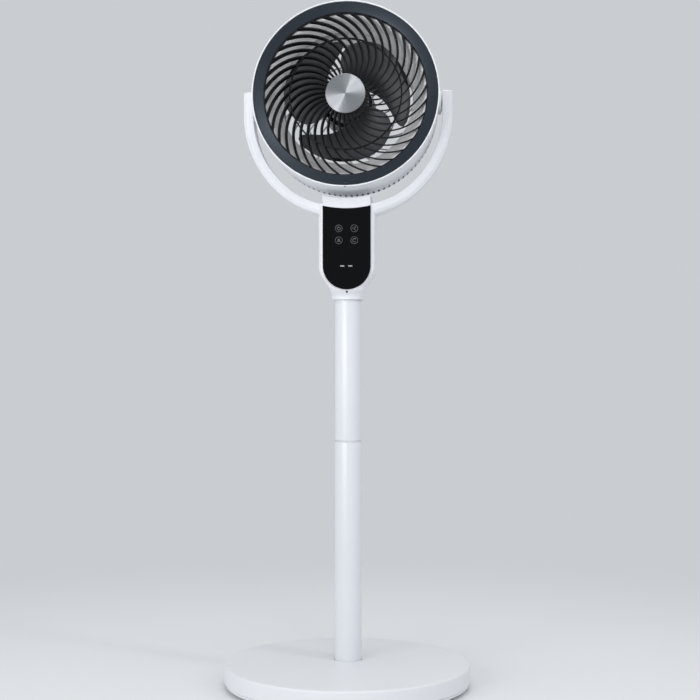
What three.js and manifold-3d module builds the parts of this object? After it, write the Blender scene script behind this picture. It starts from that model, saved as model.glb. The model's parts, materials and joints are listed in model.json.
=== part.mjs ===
// Pedestal air circulator: a weighted round base, a two-piece column, a swinging neck with a
// U-shaped yoke, and a drum head that tilts in the yoke and holds a ducted three-blade impeller.
// Millimetres, +Z up, front towards -Y, origin on the floor under the centre of the base.

import * as THREE from "three";
import { mergeVertices } from "three/addons/utils/BufferGeometryUtils.js";
import Module from "manifold-3d";

const wasm = await Module();
wasm.setup();

// ---------------------------------------------------------------- driving dimensions

const seatGap = 0.3; // between two pieces that rest on each other
const runningGap = 0.15; // radial, between a shaft and the bore it turns in
const screwGap = 0.25; // radial, between a screw and its hole

// stand
const baseRadius = 170;
const baseHeight = 32; // floor to the top of the base
const baseWall = 3;
const baseEdgeRadius = 3;
const shadowLine = 1; // open line between base shell and base tray
const trayInset = 2; // the tray stands this far inside the base shell
const trayThickness = 4;
const footRadius = 11;
const footHeight = 4;
const footInset = 18; // foot centres inside the tray's edge
const footCount = 5;
const weightRadius = 138;
const weightThickness = 6;
const trayScrewInset = 18;
const columnSetback = 20; // column axis behind the centre of the base

// column
const lowerTubeRadius = 19;
const upperTubeRadius = 18.5;
const tubeWall = 1.5;
const tubeJointHeight = 337;
const couplerLength = 80;
const couplerCollar = 1.2;
const spigotFlangeRadius = 34;
const spigotFlange = 5;
const spigotHeight = 90;

// neck and yoke, depths from the column axis
const neckLength = 138; // collar up to the lowest point of the saddle
const neckHalfWidth = 39;
const neckFrontDepth = 32.5;
const neckRearDepth = 31;
const neckFrontCorner = 6.4;
const neckRearCorner = 14;
const collarRadius = 23;
const shellWall = 2.4;
const flareRise = 6; // the neck starts to widen this far above the collar
const flareLength = 37;
const saddleRoom = 10.5; // between the drum and the saddle under it
const saddleWall = 3;
const yokeRoom = 3.5; // between the drum and the yoke's arms
const yokeThickness = 14;
const yokeDepth = 34;
const yokeDrop = 16; // centre of the yoke's arc below the tilt axis
const yokeArmRise = 20; // arm tops above the tilt axis
const yokeEdge = 2.5;
const yokeBevel = 4.5; // along the front outer edge
const yokeReach = 82; // the arms start to come forward to the neck at this width
const splitPlane = 4; // the housing halves part here, behind the column axis
const slotCount = 5;
const slotPitch = 5;

// touch panel
const panelHalfWidth = 32.8;
const panelRise = 13; // above the collar
const panelProud = 2.5; // the panel and the tab above it stand out from the neck
const tabHeight = 14; // white tab between the panel and the saddle
const panelThickness = 3;
const boardHalfWidth = 25;
const boardThickness = 1.6;

// swing drive
const gearModule = 1;
const gearTeeth = 28;
const pinionTeeth = 12;
const gearWidth = 7;
const spindleRadius = 9;
const spindleFlange = 3;
const carrierThickness = 3;
const washerThickness = 1.5;
const swingMotorRadius = 12;
const swingMotorHeight = 19;

// head, depths along the fan axis from the tilt axis, front positive
const pivotHeight = 808;
const headTilt = 3.5; // degrees nose-up at rest
const drumFront = 62;
const drumFrontRadius = 127.5;
const drumTaper = 3; // the drum is this much narrower at the rear, in radius
const drumRear = -42;
const drumWall = 2.5;
const drumCorner = 20;
const lipWidth = 1.9;
const ventCount = 100;
const ventWidth = 3;
const ventLength = 8;
const rearOpeningRadius = 99;
const trunnionRadius = 16;
const pivotPinRadius = 5;
const frictionWasher = 1.2;
const bezelInnerRadius = 111;
const bezelDish = 3; // the bezel falls this much towards its inner edge
const bezelThickness = 3;

// grille
const ribCount = 36;
const ribThickness = 1.4;
const ribDepth = 6.5;
const ribSweep = 51.5; // degrees from hub to rim, anticlockwise seen from the front
const ribPhase = 4.1;
const ribLean = 2.2; // degrees that the back edge leads the front edge
const tieRingRadius = 76;
const hubCapRadius = 27;
const grilleFront = 58.4;

// impeller and motor
const bladeCount = 3;
const bladeTipRadius = 87;
const bladeThickness = 2;
const impellerHubRadius = 30;
const impellerFront = 38;
const impellerRear = 8;
const ductThroat = 91;
const ductWall = 2;
const motorRadius = 34;
const motorFront = -4;
const motorRear = -40;
const motorWall = 2.5;
const shaftRadius = 4;
const bearingRadius = 11;
const bearingWidth = 7;

// ---------------------------------------------------------------- materials

function material(color, roughness, metalness = 0) {
  return new THREE.MeshStandardMaterial({ color, roughness, metalness });
}

const whitePlastic = material(0xe9ebee, 0.45);
const darkSatin = material(0x2d343e, 0.4, 0.1);
const blackGloss = material(0x08090c, 0.08);
const greyBlade = material(0x3a3b3f, 0.55);
const spunAluminium = material(0xc9ccd0, 0.3, 1);
const paintedSteel = material(0xe4e7ea, 0.4);
const zincSteel = material(0xa9adb1, 0.45, 0.9);
const castIron = material(0x3c3e40, 0.8, 0.6);
const blackRubber = material(0x17181a, 0.9);
const motorBlack = material(0x1f2124, 0.6);
const laminatedSteel = material(0x70757a, 0.5, 0.9);
const circuitGreen = material(0x1d5a3a, 0.6);
const nylon = material(0xd9d4c4, 0.6);

// ---------------------------------------------------------------- solids

function solidOf(geometry) {
  const bare = geometry.clone();
  bare.deleteAttribute("normal");
  bare.deleteAttribute("uv");
  const merged = mergeVertices(bare, 1e-4);
  return new wasm.Manifold(
    new wasm.Mesh({
      numProp: 3,
      vertProperties: merged.attributes.position.array,
      triVerts: new Uint32Array(merged.index.array),
    }),
  );
}

// Faces that lie in one plane to within this many millimetres are joined again.
const flatness = 0.06;

function geometryOf(solid) {
  const mesh = solid.asOriginal().simplify(flatness).getMesh();
  const geometry = new THREE.BufferGeometry();
  geometry.setAttribute("position", new THREE.BufferAttribute(mesh.vertProperties, 3));
  geometry.setIndex(new THREE.BufferAttribute(mesh.triVerts, 1));
  geometry.computeVertexNormals();
  return geometry;
}

const join = (first, ...rest) => rest.reduce((sum, solid) => sum.add(solid), first);
const cut = (first, ...rest) => rest.reduce((left, solid) => left.subtract(solid), first);

// A closed profile of [radius, height] pairs turned round the Z axis.
function revolve(profile, segments = 18) {
  const points = profile.map(([r, z]) => new THREE.Vector2(r, z));
  if (THREE.ShapeUtils.area(points) < 0) points.reverse();
  const first = points[0];
  points.push(first.clone());
  return solidOf(new THREE.LatheGeometry(points, segments).rotateX(Math.PI / 2));
}

const ring = (outer, inner, low, high, segments) =>
  revolve([[outer, low], [outer, high], [inner, high], [inner, low]], segments);

function rod(radius, low, high, segments = 12) {
  const geometry = new THREE.CylinderGeometry(radius, radius, high - low, segments);
  geometry.rotateX(Math.PI / 2).translate(0, 0, (low + high) / 2);
  return solidOf(geometry);
}

function block(low, high) {
  const size = high.map((value, i) => value - low[i]);
  const middle = high.map((value, i) => (value + low[i]) / 2);
  return solidOf(new THREE.BoxGeometry(...size).translate(...middle));
}

// A flat outline, raised along Z from low to high.
function prism(outline, low, high) {
  const shape = new THREE.Shape(outline.map(([x, y]) => new THREE.Vector2(x, y)));
  const options = { depth: high - low, bevelEnabled: false };
  return solidOf(new THREE.ExtrudeGeometry(shape, options).translate(0, 0, low));
}

// Fills an outline from side to side, so that a thin curved one is closed along its own width.
function endTriangles(count) {
  const triangles = [];
  for (let i = 0, j = count - 1; i + 1 < j; i++, j--) {
    triangles.push([i, i + 1, j]);
    if (i + 1 < j - 1) triangles.push([i + 1, j - 1, j]);
  }
  return triangles;
}

// Rings of points with equal counts, skinned one after the other and closed at both ends. From the
// point turnover on, the quads are split the other way, which keeps a thin strip's two faces parallel.
function loft(rings, turnover = Infinity) {
  const count = rings[0].length;
  const positions = rings.flat(2);
  const faces = [];
  for (let j = 0; j + 1 < rings.length; j++) {
    for (let i = 0; i < count; i++) {
      const a = j * count + i;
      const b = j * count + ((i + 1) % count);
      if (i < turnover) faces.push(a, b, b + count, a, b + count, a + count);
      else faces.push(a, b, a + count, b, b + count, a + count);
    }
  }
  const last = (rings.length - 1) * count;
  endTriangles(count).forEach(([a, b, c]) => faces.push(a, c, b, last + a, last + b, last + c));
  const geometry = new THREE.BufferGeometry();
  geometry.setAttribute("position", new THREE.Float32BufferAttribute(positions, 3));
  geometry.setIndex(faces);
  return solidOf(geometry);
}

const around = (count, make) => Array.from({ length: count }, (_, i) => make((i * 360) / count, i));
const turned = (solid, degrees) => solid.rotate([0, 0, degrees]);
const polar = (radius, degrees) => [
  radius * Math.cos(THREE.MathUtils.degToRad(degrees)),
  radius * Math.sin(THREE.MathUtils.degToRad(degrees)),
];
const at = (solid, x, y, z = 0) => solid.translate([x, y, z]);

function part(parent, name, solid, look) {
  const mesh = new THREE.Mesh(geometryOf(solid), look);
  mesh.name = name;
  parent.add(mesh);
  return mesh;
}

// ---------------------------------------------------------------- levels worked out from the sizes

const trayBottom = footHeight + seatGap;
const trayTop = trayBottom + trayThickness;
const weightBottom = trayTop + seatGap;
const weightTop = weightBottom + weightThickness;
const flangeBottom = weightTop + seatGap;
const flangeTop = flangeBottom + spigotFlange;
const lowerTubeBottom = flangeTop + seatGap;
const spigotRadius = lowerTubeRadius - tubeWall - 0.4;
const collarBottom = tubeJointHeight + seatGap;
const upperTubeBottom = collarBottom + couplerCollar + seatGap;
const drumRearRadius = drumFrontRadius - drumTaper;
const yokeHalfWidth = drumFrontRadius + yokeRoom + yokeThickness;
const saddleRadius = drumRearRadius + saddleRoom; // about the tilt axis
const neckTop = pivotHeight - saddleRadius + neckHalfWidth / 2;
const neckBottom = pivotHeight - saddleRadius - neckLength;
const upperTubeTop = neckBottom + 14;
const spindleFlangeTop = upperTubeTop + seatGap + spindleFlange;
const washerBottom = spindleFlangeTop + seatGap;
const carrierBottom = washerBottom + washerThickness + seatGap;
const carrierTop = carrierBottom + carrierThickness;
const gearBottom = carrierTop + seatGap;
const gearTop = gearBottom + gearWidth;
const gearDistance = (gearModule * (gearTeeth + pinionTeeth)) / 2;
const swingMotorBottom = gearTop + 1.5;

// ---------------------------------------------------------------- base

function screw(headRadius, headHeight, shankRadius, length) {
  return revolve([[0, 0], [headRadius, 0], [headRadius, headHeight], [shankRadius, headHeight],
    [shankRadius, length], [0, length]], 8);
}

const trayRadius = baseRadius - trayInset;
const footCircle = trayRadius - footInset;
const trayScrewCircle = trayRadius - trayScrewInset;
const trayScrewAngles = around(3, (angle) => 90 + angle);
const footAngles = around(footCount, (angle) => angle - 90);
const stemRadius = 3;
const boltRadius = 4;
const boltHeadRadius = 9;
const boltHead = 4;

function makeTray() {
  const edge = 1.5;
  const disc = revolve([[0, trayBottom], [trayRadius - edge, trayBottom],
    [trayRadius, trayBottom + edge], [trayRadius, trayTop], [0, trayTop]], 40);
  const stems = footAngles.map((angle) =>
    at(rod(stemRadius + screwGap, trayBottom - 1, trayTop + 1), ...polar(footCircle, angle)));
  const recess = 2.4;
  const screws = trayScrewAngles.map((angle) => {
    const seat = rod(4.5, trayBottom - 1, trayBottom + recess);
    const hole = rod(1.8 + screwGap, trayBottom, trayTop + 1);
    return at(join(seat, hole), ...polar(trayScrewCircle, angle));
  });
  const boltRoom = at(rod(boltHeadRadius + 2, trayBottom - 1, trayTop + 1, 16), 0, columnSetback);
  return cut(disc, ...stems, ...screws, boltRoom);
}

function makeFoot() {
  const barb = stemRadius + 0.9;
  const neckTop = trayTop + seatGap;
  return revolve([[0, 0], [footRadius - 1, 0], [footRadius, 1], [footRadius, footHeight],
    [stemRadius, footHeight], [stemRadius, neckTop], [barb, neckTop], [barb - 1.5, neckTop + 2.5],
    [0, neckTop + 2.5]], 12);
}

function makeWeight() {
  const disc = rod(weightRadius, weightBottom, weightTop, 32);
  const boltHole = at(rod(boltRadius + screwGap, weightBottom - 1, weightTop + 1), 0, columnSetback);
  return cut(disc, boltHole);
}

function makeBaseShell() {
  const low = trayTop + shadowLine;
  const top = baseHeight;
  const inner = baseRadius - baseWall;
  const corner = around(4, (_, i) => {
    const turn = i * 30;
    const [x, y] = polar(baseEdgeRadius, turn);
    return [baseRadius - baseEdgeRadius + x, top - baseEdgeRadius + y];
  });
  const lipFoot = trayTop + seatGap;
  const shell = revolve([[baseRadius, low], ...corner, [0, top], [0, top - baseWall],
    [inner - 3, top - baseWall], [inner - 3, lipFoot], [inner - 1, lipFoot], [inner - 1, low]], 40);
  const bosses = trayScrewAngles.map((angle) =>
    at(ring(5, 1.8 + 0.05, lipFoot, top - baseWall + 1, 10), ...polar(trayScrewCircle, angle)));
  const ribs = around(3, (angle) => {
    const rib = block([weightRadius + 4, -1, top - baseWall - 6], [inner - 2, 1, top - baseWall + 1]);
    return turned(rib, angle + 15);
  });
  const mouth = at(rod(lowerTubeRadius + 0.5, top - baseWall - 2, top + 2, 32), 0, columnSetback);
  return cut(join(shell, ...bosses, ...ribs), mouth);
}

function buildBase(parent) {
  part(parent, "base_shell", makeBaseShell(), whitePlastic);
  part(parent, "base_tray", makeTray(), whitePlastic);
  part(parent, "base_weight", makeWeight(), castIron);
  footAngles.forEach((angle, i) => {
    const foot = part(parent, `foot_${i + 1}`, makeFoot(), blackRubber);
    foot.position.set(...polar(footCircle, angle), 0);
  });
  trayScrewAngles.forEach((angle, i) => {
    const fastener = part(parent, `tray_screw_${i + 1}`, screw(4, 2, 1.7, 16), zincSteel);
    fastener.position.set(...polar(trayScrewCircle, angle), trayBottom + 0.1);
  });
}

// ---------------------------------------------------------------- column

function makeSpigot() {
  const bore = spigotRadius - 4;
  return revolve([[spigotFlangeRadius, flangeBottom], [spigotFlangeRadius, flangeTop],
    [spigotRadius, flangeTop], [spigotRadius, spigotHeight - 2], [spigotRadius - 1.5, spigotHeight],
    [bore, spigotHeight], [bore, flangeTop + 8], [boltRadius + 0.1, flangeTop + 8],
    [boltRadius + 0.1, flangeBottom]]);
}

function makeCoupler() {
  const low = tubeJointHeight - couplerLength / 2;
  const high = tubeJointHeight + couplerLength / 2;
  const lower = lowerTubeRadius - tubeWall - seatGap;
  const upper = upperTubeRadius - tubeWall - seatGap;
  const collar = upperTubeRadius;
  const top = collarBottom + couplerCollar;
  return revolve([[lower, low], [lower, collarBottom], [collar, collarBottom], [collar, top],
    [upper, top], [upper, high], [upper - 3, high], [upper - 3, low]]);
}

function makeSpindle() {
  const plug = upperTubeRadius - tubeWall - seatGap;
  const flange = upperTubeRadius;
  const flangeLow = upperTubeTop + seatGap;
  const bore = 3;
  return revolve([[plug, upperTubeTop - 40], [plug, flangeLow], [flange, flangeLow],
    [flange, spindleFlangeTop], [spindleRadius, spindleFlangeTop], [spindleRadius, gearTop],
    [bore, gearTop], [bore, upperTubeTop - 40]]);
}

// A spur gear with straight-flanked teeth; a tooth is centred on the angle given.
function makeGear(teeth, bore, low, high, toothAngle) {
  const pitchRadius = (gearModule * teeth) / 2;
  const tip = pitchRadius + 0.9 * gearModule;
  const root = pitchRadius - 1.2 * gearModule;
  const pitch = 360 / teeth;
  const outline = around(teeth, (angle) => {
    const middle = angle + toothAngle;
    const rootHalf = 0.29 * pitch;
    const tipHalf = 0.12 * pitch;
    return [polar(root, middle - rootHalf), polar(tip, middle - tipHalf),
      polar(tip, middle + tipHalf), polar(root, middle + rootHalf)];
  }).flat();
  const body = prism(outline, low, high);
  return bore > 0 ? cut(body, rod(bore, low - 1, high + 1, 24)) : body;
}

function buildColumn(parent) {
  const steelTube = (radius, low, high) => ring(radius, radius - tubeWall, low, high, 32);
  part(parent, "column_spigot", makeSpigot(), zincSteel);
  const bolt = part(parent, "column_bolt",
    screw(boltHeadRadius, boltHead, boltRadius, boltHead + flangeTop - weightBottom + 6), zincSteel);
  bolt.position.z = weightBottom - seatGap - boltHead;
  part(parent, "lower_tube", steelTube(lowerTubeRadius, lowerTubeBottom, tubeJointHeight), paintedSteel);
  part(parent, "tube_coupler", makeCoupler(), whitePlastic);
  part(parent, "upper_tube", steelTube(upperTubeRadius, upperTubeBottom, upperTubeTop), paintedSteel);
  part(parent, "swing_spindle", makeSpindle(), zincSteel);
  part(parent, "swing_gear", makeGear(gearTeeth, spindleRadius + 0.1, gearBottom, gearTop, 0), nylon);
  const gearScrew = part(parent, "gear_screw", screw(10.5, 1, 2.8, 12).rotate([180, 0, 0]), zincSteel);
  gearScrew.position.set(0, 0, gearTop + 1 + 0.3);
}

// ---------------------------------------------------------------- neck and yoke housing

const smooth = (value, low, high) => THREE.MathUtils.smoothstep(value, low, high);
const blend = (from, to, t) => from + (to - from) * t;

const flareStart = neckBottom + flareRise;
const flareEnd = flareStart + flareLength;

// The front of the neck comes forward sooner than its sides and rear widen.
function neckFrontAt(z) {
  const share = smooth(z, neckBottom + flareRise / 2, neckBottom + flareRise * 2.5);
  return blend(collarRadius, neckFrontDepth, share);
}

// Rounded section of the neck at height z, drawn inside the outer face by inset.
function neckSection(z, inset) {
  const wide = smooth(z, flareStart, flareEnd);
  const half = blend(collarRadius, neckHalfWidth, wide) - inset;
  const front = neckFrontAt(z) - inset;
  const rear = blend(collarRadius, neckRearDepth, wide) - inset;
  const square = Math.max(wide, (0.4 * (front + inset - collarRadius)) / (neckFrontDepth - collarRadius));
  const frontCorner = Math.min(half, blend(collarRadius, neckFrontCorner, square) - inset);
  const rearCorner = Math.min(half, blend(collarRadius, neckRearCorner, wide) - inset);
  const corners = [
    [half - rearCorner, rear - rearCorner, rearCorner, 0],
    [rearCorner - half, rear - rearCorner, rearCorner, 90],
    [frontCorner - half, frontCorner - front, frontCorner, 180],
    [half - frontCorner, frontCorner - front, frontCorner, 270],
  ];
  const steps = 3;
  return corners.flatMap(([x, y, radius, start]) =>
    Array.from({ length: steps + 1 }, (_, i) => {
      const [dx, dy] = polar(radius, start + (90 * i) / steps);
      return [x + dx, y + dy, z];
    }));
}

function neckLoft(low, high, inset) {
  const steps = 8;
  const flareStart = neckBottom + flareRise / 2;
  const flare = Array.from({ length: steps + 1 }, (_, i) => blend(flareStart, flareEnd, i / steps));
  return loft([low, ...flare, high].map((z) => neckSection(z, inset)));
}

const yokeCentre = pivotHeight - yokeDrop;

// Depth of the front of the U at a distance from the column: it comes forward to meet the neck.
const yokeFrontAt = (x) =>
  blend(neckFrontDepth - seatGap, yokeDepth / 2, smooth(Math.abs(x), neckHalfWidth - 4, yokeReach));

// One section of the U: [outwards, depth] corners, bevelled along the front outer edge.
function yokeSection(front, inset, hollow) {
  const half = yokeThickness / 2 - inset;
  const rear = yokeDepth / 2 - inset;
  const edge = yokeEdge;
  const fore = -(front - inset);
  const bevel = yokeBevel;
  if (hollow) {
    return [[-half, fore], [half - bevel / 2, fore], [half, fore + bevel / 2], [half, rear], [-half, rear]];
  }
  return [[edge - half, fore], [half - bevel, fore], [half, fore + bevel], [half, rear - edge],
    [half - edge, rear], [edge - half, rear], [-half, rear - edge], [-half, fore + edge]];
}

// The U, swept down one arm, round the bottom and up the other.
function yokeSolid(inset) {
  const middle = yokeHalfWidth - yokeThickness / 2;
  const top = pivotHeight + yokeArmRise - inset;
  const ease = inset > 0 ? 0.1 : yokeEdge;
  const station = (x, z, [ax, az], grow) => {
    const section = yokeSection(yokeFrontAt(x), inset + grow, inset > 0);
    return section.map(([a, b]) => [x + ax * a, b, z + az * a]);
  };
  const steps = 16;
  const bend = Array.from({ length: steps + 1 }, (_, i) => {
    const way = polar(1, 180 + (180 * i) / steps);
    return station(middle * way[0], yokeCentre + middle * way[1], way, 0);
  });
  return loft([station(-middle, top, [-1, 0], ease / 2), station(-middle, top - ease, [-1, 0], 0), ...bend,
    station(middle, top - ease, [1, 0], 0), station(middle, top, [1, 0], ease / 2)]);
}

// A round bar along Y from front to back, centred at (x, z).
const crossBar = (radius, x, z, front, back, segments = 16) =>
  rod(radius, front, back, segments).rotate([-90, 0, 0]).translate([x, 0, z]);

// A round bar along X.
const sideBar = (radius, z, left, right, segments = 16) =>
  rod(radius, left, right, segments).rotate([0, 90, 0]).translate([0, 0, z]);

const saddleCut = (radius) => crossBar(radius, 0, pivotHeight, -90, 90, 96);

function panelOutline(half, bottom, top) {
  const centre = bottom + half;
  const lower = Array.from({ length: 17 }, (_, i) => {
    const [x, z] = polar(half, 180 + (180 * i) / 16);
    return [x, centre + z];
  });
  const edge = (THREE.MathUtils.radToDeg(Math.asin(half / top)));
  const upper = Array.from({ length: 9 }, (_, i) => {
    const [x, z] = polar(top, 270 + edge - (2 * edge * i) / 8);
    return [x, pivotHeight + z];
  });
  return [...lower, ...upper];
}

// The outline stands in the XZ plane and runs from the depth front back to the depth back.
const upright = (outline, front, back) =>
  prism(outline, -back, -front).rotate([90, 0, 0]);

const panelBottom = neckBottom + panelRise;
const panelTopRadius = saddleRadius + tabHeight;
const panelFront = -neckFrontDepth - panelProud;
const panelBack = panelFront + panelThickness + seatGap;
const boardFront = panelBack + shellWall + seatGap;

const boardLow = panelBottom + 24;
const boardHigh = panelBottom + 97;
const housingScrews = [-30, 30].map((x) => [x, panelBottom + 72]);
const screwSink = 8; // heads of the housing screws below the rear face
const postRadius = 4;
const pilotRadius = 1.5;
const everywhere = 1000;
const armScrewAngle = 52;
const armScrews = [-1, 1].map((side) => {
  const [x, z] = polar(yokeHalfWidth - yokeThickness / 2, 270 + side * armScrewAngle);
  return [x, yokeCentre + z];
});

function housingWhole() {
  const neck = cut(neckLoft(neckBottom, neckTop, 0), saddleCut(saddleRadius));
  const outside = join(neck, yokeSolid(0));
  const neckHollow = cut(neckLoft(neckBottom - 5, neckTop, shellWall), saddleCut(saddleRadius + saddleWall));
  const hollow = join(neckHollow, yokeSolid(shellWall));
  const pins = sideBar(pivotPinRadius + screwGap, pivotHeight, -yokeHalfWidth + 8, yokeHalfWidth - 8);
  return { outside, hollow, pins };
}

// Each housing screw: [x, z, depth of the rear face that it enters].
const screwSpots = [...housingScrews.map((spot) => [...spot, neckRearDepth]),
  ...armScrews.map((spot) => [...spot, yokeDepth / 2])];

const half = (front, back) =>
  block([-everywhere, front, neckBottom - everywhere], [everywhere, back, neckBottom + everywhere]);

// A cut or a plate that runs from the panel's outline, grown by a margin, between two depths.
const panelShape = (margin, front, back) =>
  upright(panelOutline(panelHalfWidth + margin, panelBottom - margin, panelTopRadius - margin), front, back);

function makeFrontHousing(whole) {
  const face = splitPlane - seatGap;
  const shell = cut(whole.outside, whole.hollow).intersect(half(-everywhere, face));
  const posts = screwSpots.map(([x, z]) => crossBar(postRadius, x, z, -neckFrontDepth, face, 12));
  const pilots = screwSpots.map(([x, z]) => crossBar(pilotRadius, x, z, face - 16, face + 1, 12));
  const backing = panelShape(2, -neckFrontDepth + 0.5, panelBack + shellWall);
  const inside = join(backing, ...posts).intersect(whole.outside);
  const tab = cut(panelShape(0, panelFront, -neckFrontDepth + 1).translate([0, 0, tabHeight]),
    saddleCut(saddleRadius), panelShape(seatGap, -everywhere, 0));
  const body = cut(join(shell, inside, tab), ...pilots, whole.pins);
  const window = upright([[-boardHalfWidth, boardLow], [boardHalfWidth, boardLow],
    [boardHalfWidth, boardHigh], [-boardHalfWidth, boardHigh]], -everywhere, -neckFrontDepth / 2);
  const sensor = crossBar(sensorRadius + seatGap, 0, sensorHeight, -everywhere, -neckFrontDepth / 2, 12);
  return cut(body, panelShape(seatGap, -everywhere, panelBack), window, sensor);
}

function makeRearHousing(whole) {
  const shell = cut(whole.outside, whole.hollow).intersect(half(splitPlane, everywhere));
  const posts = screwSpots.map(([x, z, face]) => crossBar(postRadius, x, z, splitPlane, face - 1, 12));
  const holes = screwSpots.map(([x, z, face]) => join(crossBar(1.8 + screwGap, x, z, 0, face + 1, 12),
    crossBar(3.6, x, z, face - screwSink, everywhere, 16)));
  const body = cut(join(shell, join(...posts).intersect(whole.outside)), ...holes, whole.pins);
  const socket = crossBar(socketRadius + seatGap, 0, socketHeight, splitPlane + 6, everywhere);
  const slots = Array.from({ length: slotCount }, (_, i) => {
    const low = socketHeight + 24 + slotPitch * i;
    return block([-16, neckRearDepth / 2, low], [16, everywhere, low + 2]);
  });
  return cut(body, socket, ...slots);
}

const sensorRadius = 1.2;
const sensorHeight = panelBottom - 3;
const socketRadius = 5.5;
const socketHeight = neckBottom + 53;

function makeSocket() {
  const face = neckRearDepth + 0.4;
  const body = crossBar(socketRadius, 0, socketHeight, face - 14, face - 0.9);
  const rim = crossBar(socketRadius + 2, 0, socketHeight, face, face + 1.4);
  const neck = crossBar(socketRadius, 0, socketHeight, face - 1, face + 1);
  const bore = crossBar(2.8, 0, socketHeight, face - 10, face + 3);
  const pin = crossBar(0.9, 0, socketHeight, face - 11, face - 1, 12);
  return join(cut(join(body, rim, neck), bore), pin);
}

const motorShift = gearDistance - 6; // the geared motor's shaft stands off its centre
const earSpan = 16.5;

function makeCarrier() {
  const plate = loft([carrierBottom, carrierTop].map((z) =>
    neckSection(carrierBottom, shellWall + seatGap).map(([x, y]) => [x, y, z])));
  const posts = [-1, 1].map((side) =>
    at(rod(2.6, carrierTop - 1, swingMotorBottom - seatGap, 16), motorShift, side * earSpan));
  const clearance = spindleRadius + 2 * runningGap;
  const bearing = rod(clearance, carrierBottom - 1, carrierTop + 1, 24);
  const panelRoom = block([-everywhere, -everywhere, carrierBottom - 1],
    [everywhere, boardFront, carrierTop + 1]);
  const pinionHole = at(rod(2 + runningGap, carrierBottom - 1, carrierTop + 1), gearDistance, 0);
  return cut(join(plate, ...posts), bearing, pinionHole, panelRoom);
}

function makeSwingMotor() {
  const can = rod(swingMotorRadius, swingMotorBottom + 1, swingMotorBottom + swingMotorHeight, 24);
  const ears = block([-3.2, -earSpan - 3.5, swingMotorBottom], [3.2, earSpan + 3.5, swingMotorBottom + 1.2]);
  const well = rod(2 + runningGap, swingMotorBottom - 1, swingMotorBottom + 6);
  const shaftWell = at(well, gearDistance - motorShift, 0);
  return at(cut(join(can, ears), shaftWell), motorShift, 0);
}

function makePinion() {
  const phase = 180 / pinionTeeth;
  const body = makeGear(pinionTeeth, 0, gearBottom, gearTop, phase);
  return join(body, rod(2, carrierBottom + 0.3, swingMotorBottom + 5.5));
}

function buildNeck(parent) {
  const whole = housingWhole();
  part(parent, "front_housing", makeFrontHousing(whole), whitePlastic);
  part(parent, "rear_housing", makeRearHousing(whole), whitePlastic);
  screwSpots.forEach(([x, z, face], i) => {
    const length = face - screwSink + 10;
    const fastener = part(parent, `housing_screw_${i + 1}`,
      screw(3.2, 2.2, 1.4, length).rotate([90, 0, 0]), zincSteel);
    fastener.position.set(x, face - screwSink + 2.2 + seatGap, z);
  });
  part(parent, "touch_panel", panelShape(0, panelFront, panelFront + panelThickness), blackGloss);
  const board = block([seatGap - boardHalfWidth, boardFront, boardLow + seatGap],
    [boardHalfWidth - seatGap, boardFront + boardThickness, boardHigh - seatGap]);
  part(parent, "control_board", board, circuitGreen);
  const displayLow = boardLow + 2.5;
  part(parent, "digit_display",
    block([-12, panelBack + seatGap / 2, displayLow], [12, boardFront - seatGap, displayLow + 11]),
    blackGloss);
  part(parent, "sensor_window",
    crossBar(sensorRadius, 0, sensorHeight, 1 - neckFrontAt(sensorHeight), -neckFrontAt(neckBottom), 12),
    blackGloss);
  part(parent, "power_socket", makeSocket(), blackRubber);
  part(parent, "thrust_washer",
    ring(18, spindleRadius + 2 * runningGap, washerBottom, washerBottom + washerThickness, 20), nylon);
  part(parent, "swing_carrier", makeCarrier(), nylon);
  part(parent, "swing_motor", makeSwingMotor(), zincSteel);
  part(parent, "swing_pinion", makePinion(), nylon).position.x = gearDistance;
}

// ---------------------------------------------------------------- tilt pivots

const armInner = yokeHalfWidth - yokeThickness;
const washerOuter = armInner - seatGap;
const trunnionEnd = washerOuter - frictionWasher - seatGap;
const pinInnerEnd = trunnionEnd - 14;

function buildPivots(parent) {
  [["left", -1], ["right", 1]].forEach(([name, side]) => {
    const turn = side > 0 ? [0, 0, 0] : [0, 180, 0];
    const head = rod(8, armInner + shellWall + seatGap, armInner + shellWall + 4, 16);
    const shank = rod(pivotPinRadius, pinInnerEnd, armInner + shellWall + 1, 16);
    const pin = join(head, shank).rotate([0, 90, 0]).rotate(turn);
    const washer = ring(12, pivotPinRadius + screwGap, trunnionEnd + seatGap, washerOuter, 16)
      .rotate([0, 90, 0]).rotate(turn);
    part(parent, `pivot_pin_${name}`, pin, zincSteel).position.z = pivotHeight;
    part(parent, `friction_washer_${name}`, washer, nylon).position.z = pivotHeight;
  });
}

// ---------------------------------------------------------------- drum

const drumRadiusAt = (z) =>
  blend(drumRearRadius, drumFrontRadius, (z - drumRear - drumCorner) / (drumFront - drumRear - drumCorner));
const bezelOuter = drumFrontRadius - lipWidth - seatGap;
const bezelSeat = drumFront - 1 - bezelThickness;
const grilleRingWidth = 7;
const grilleBack = grilleFront - ribDepth;
const ductFront = grilleBack - seatGap;

function drumProfile(inset) {
  return [0, 30, 60, 90].map((turn) => {
    const [r, z] = polar(drumCorner - inset, 270 + turn);
    return [drumRearRadius - drumCorner + r, drumRear + drumCorner + z];
  });
}

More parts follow.
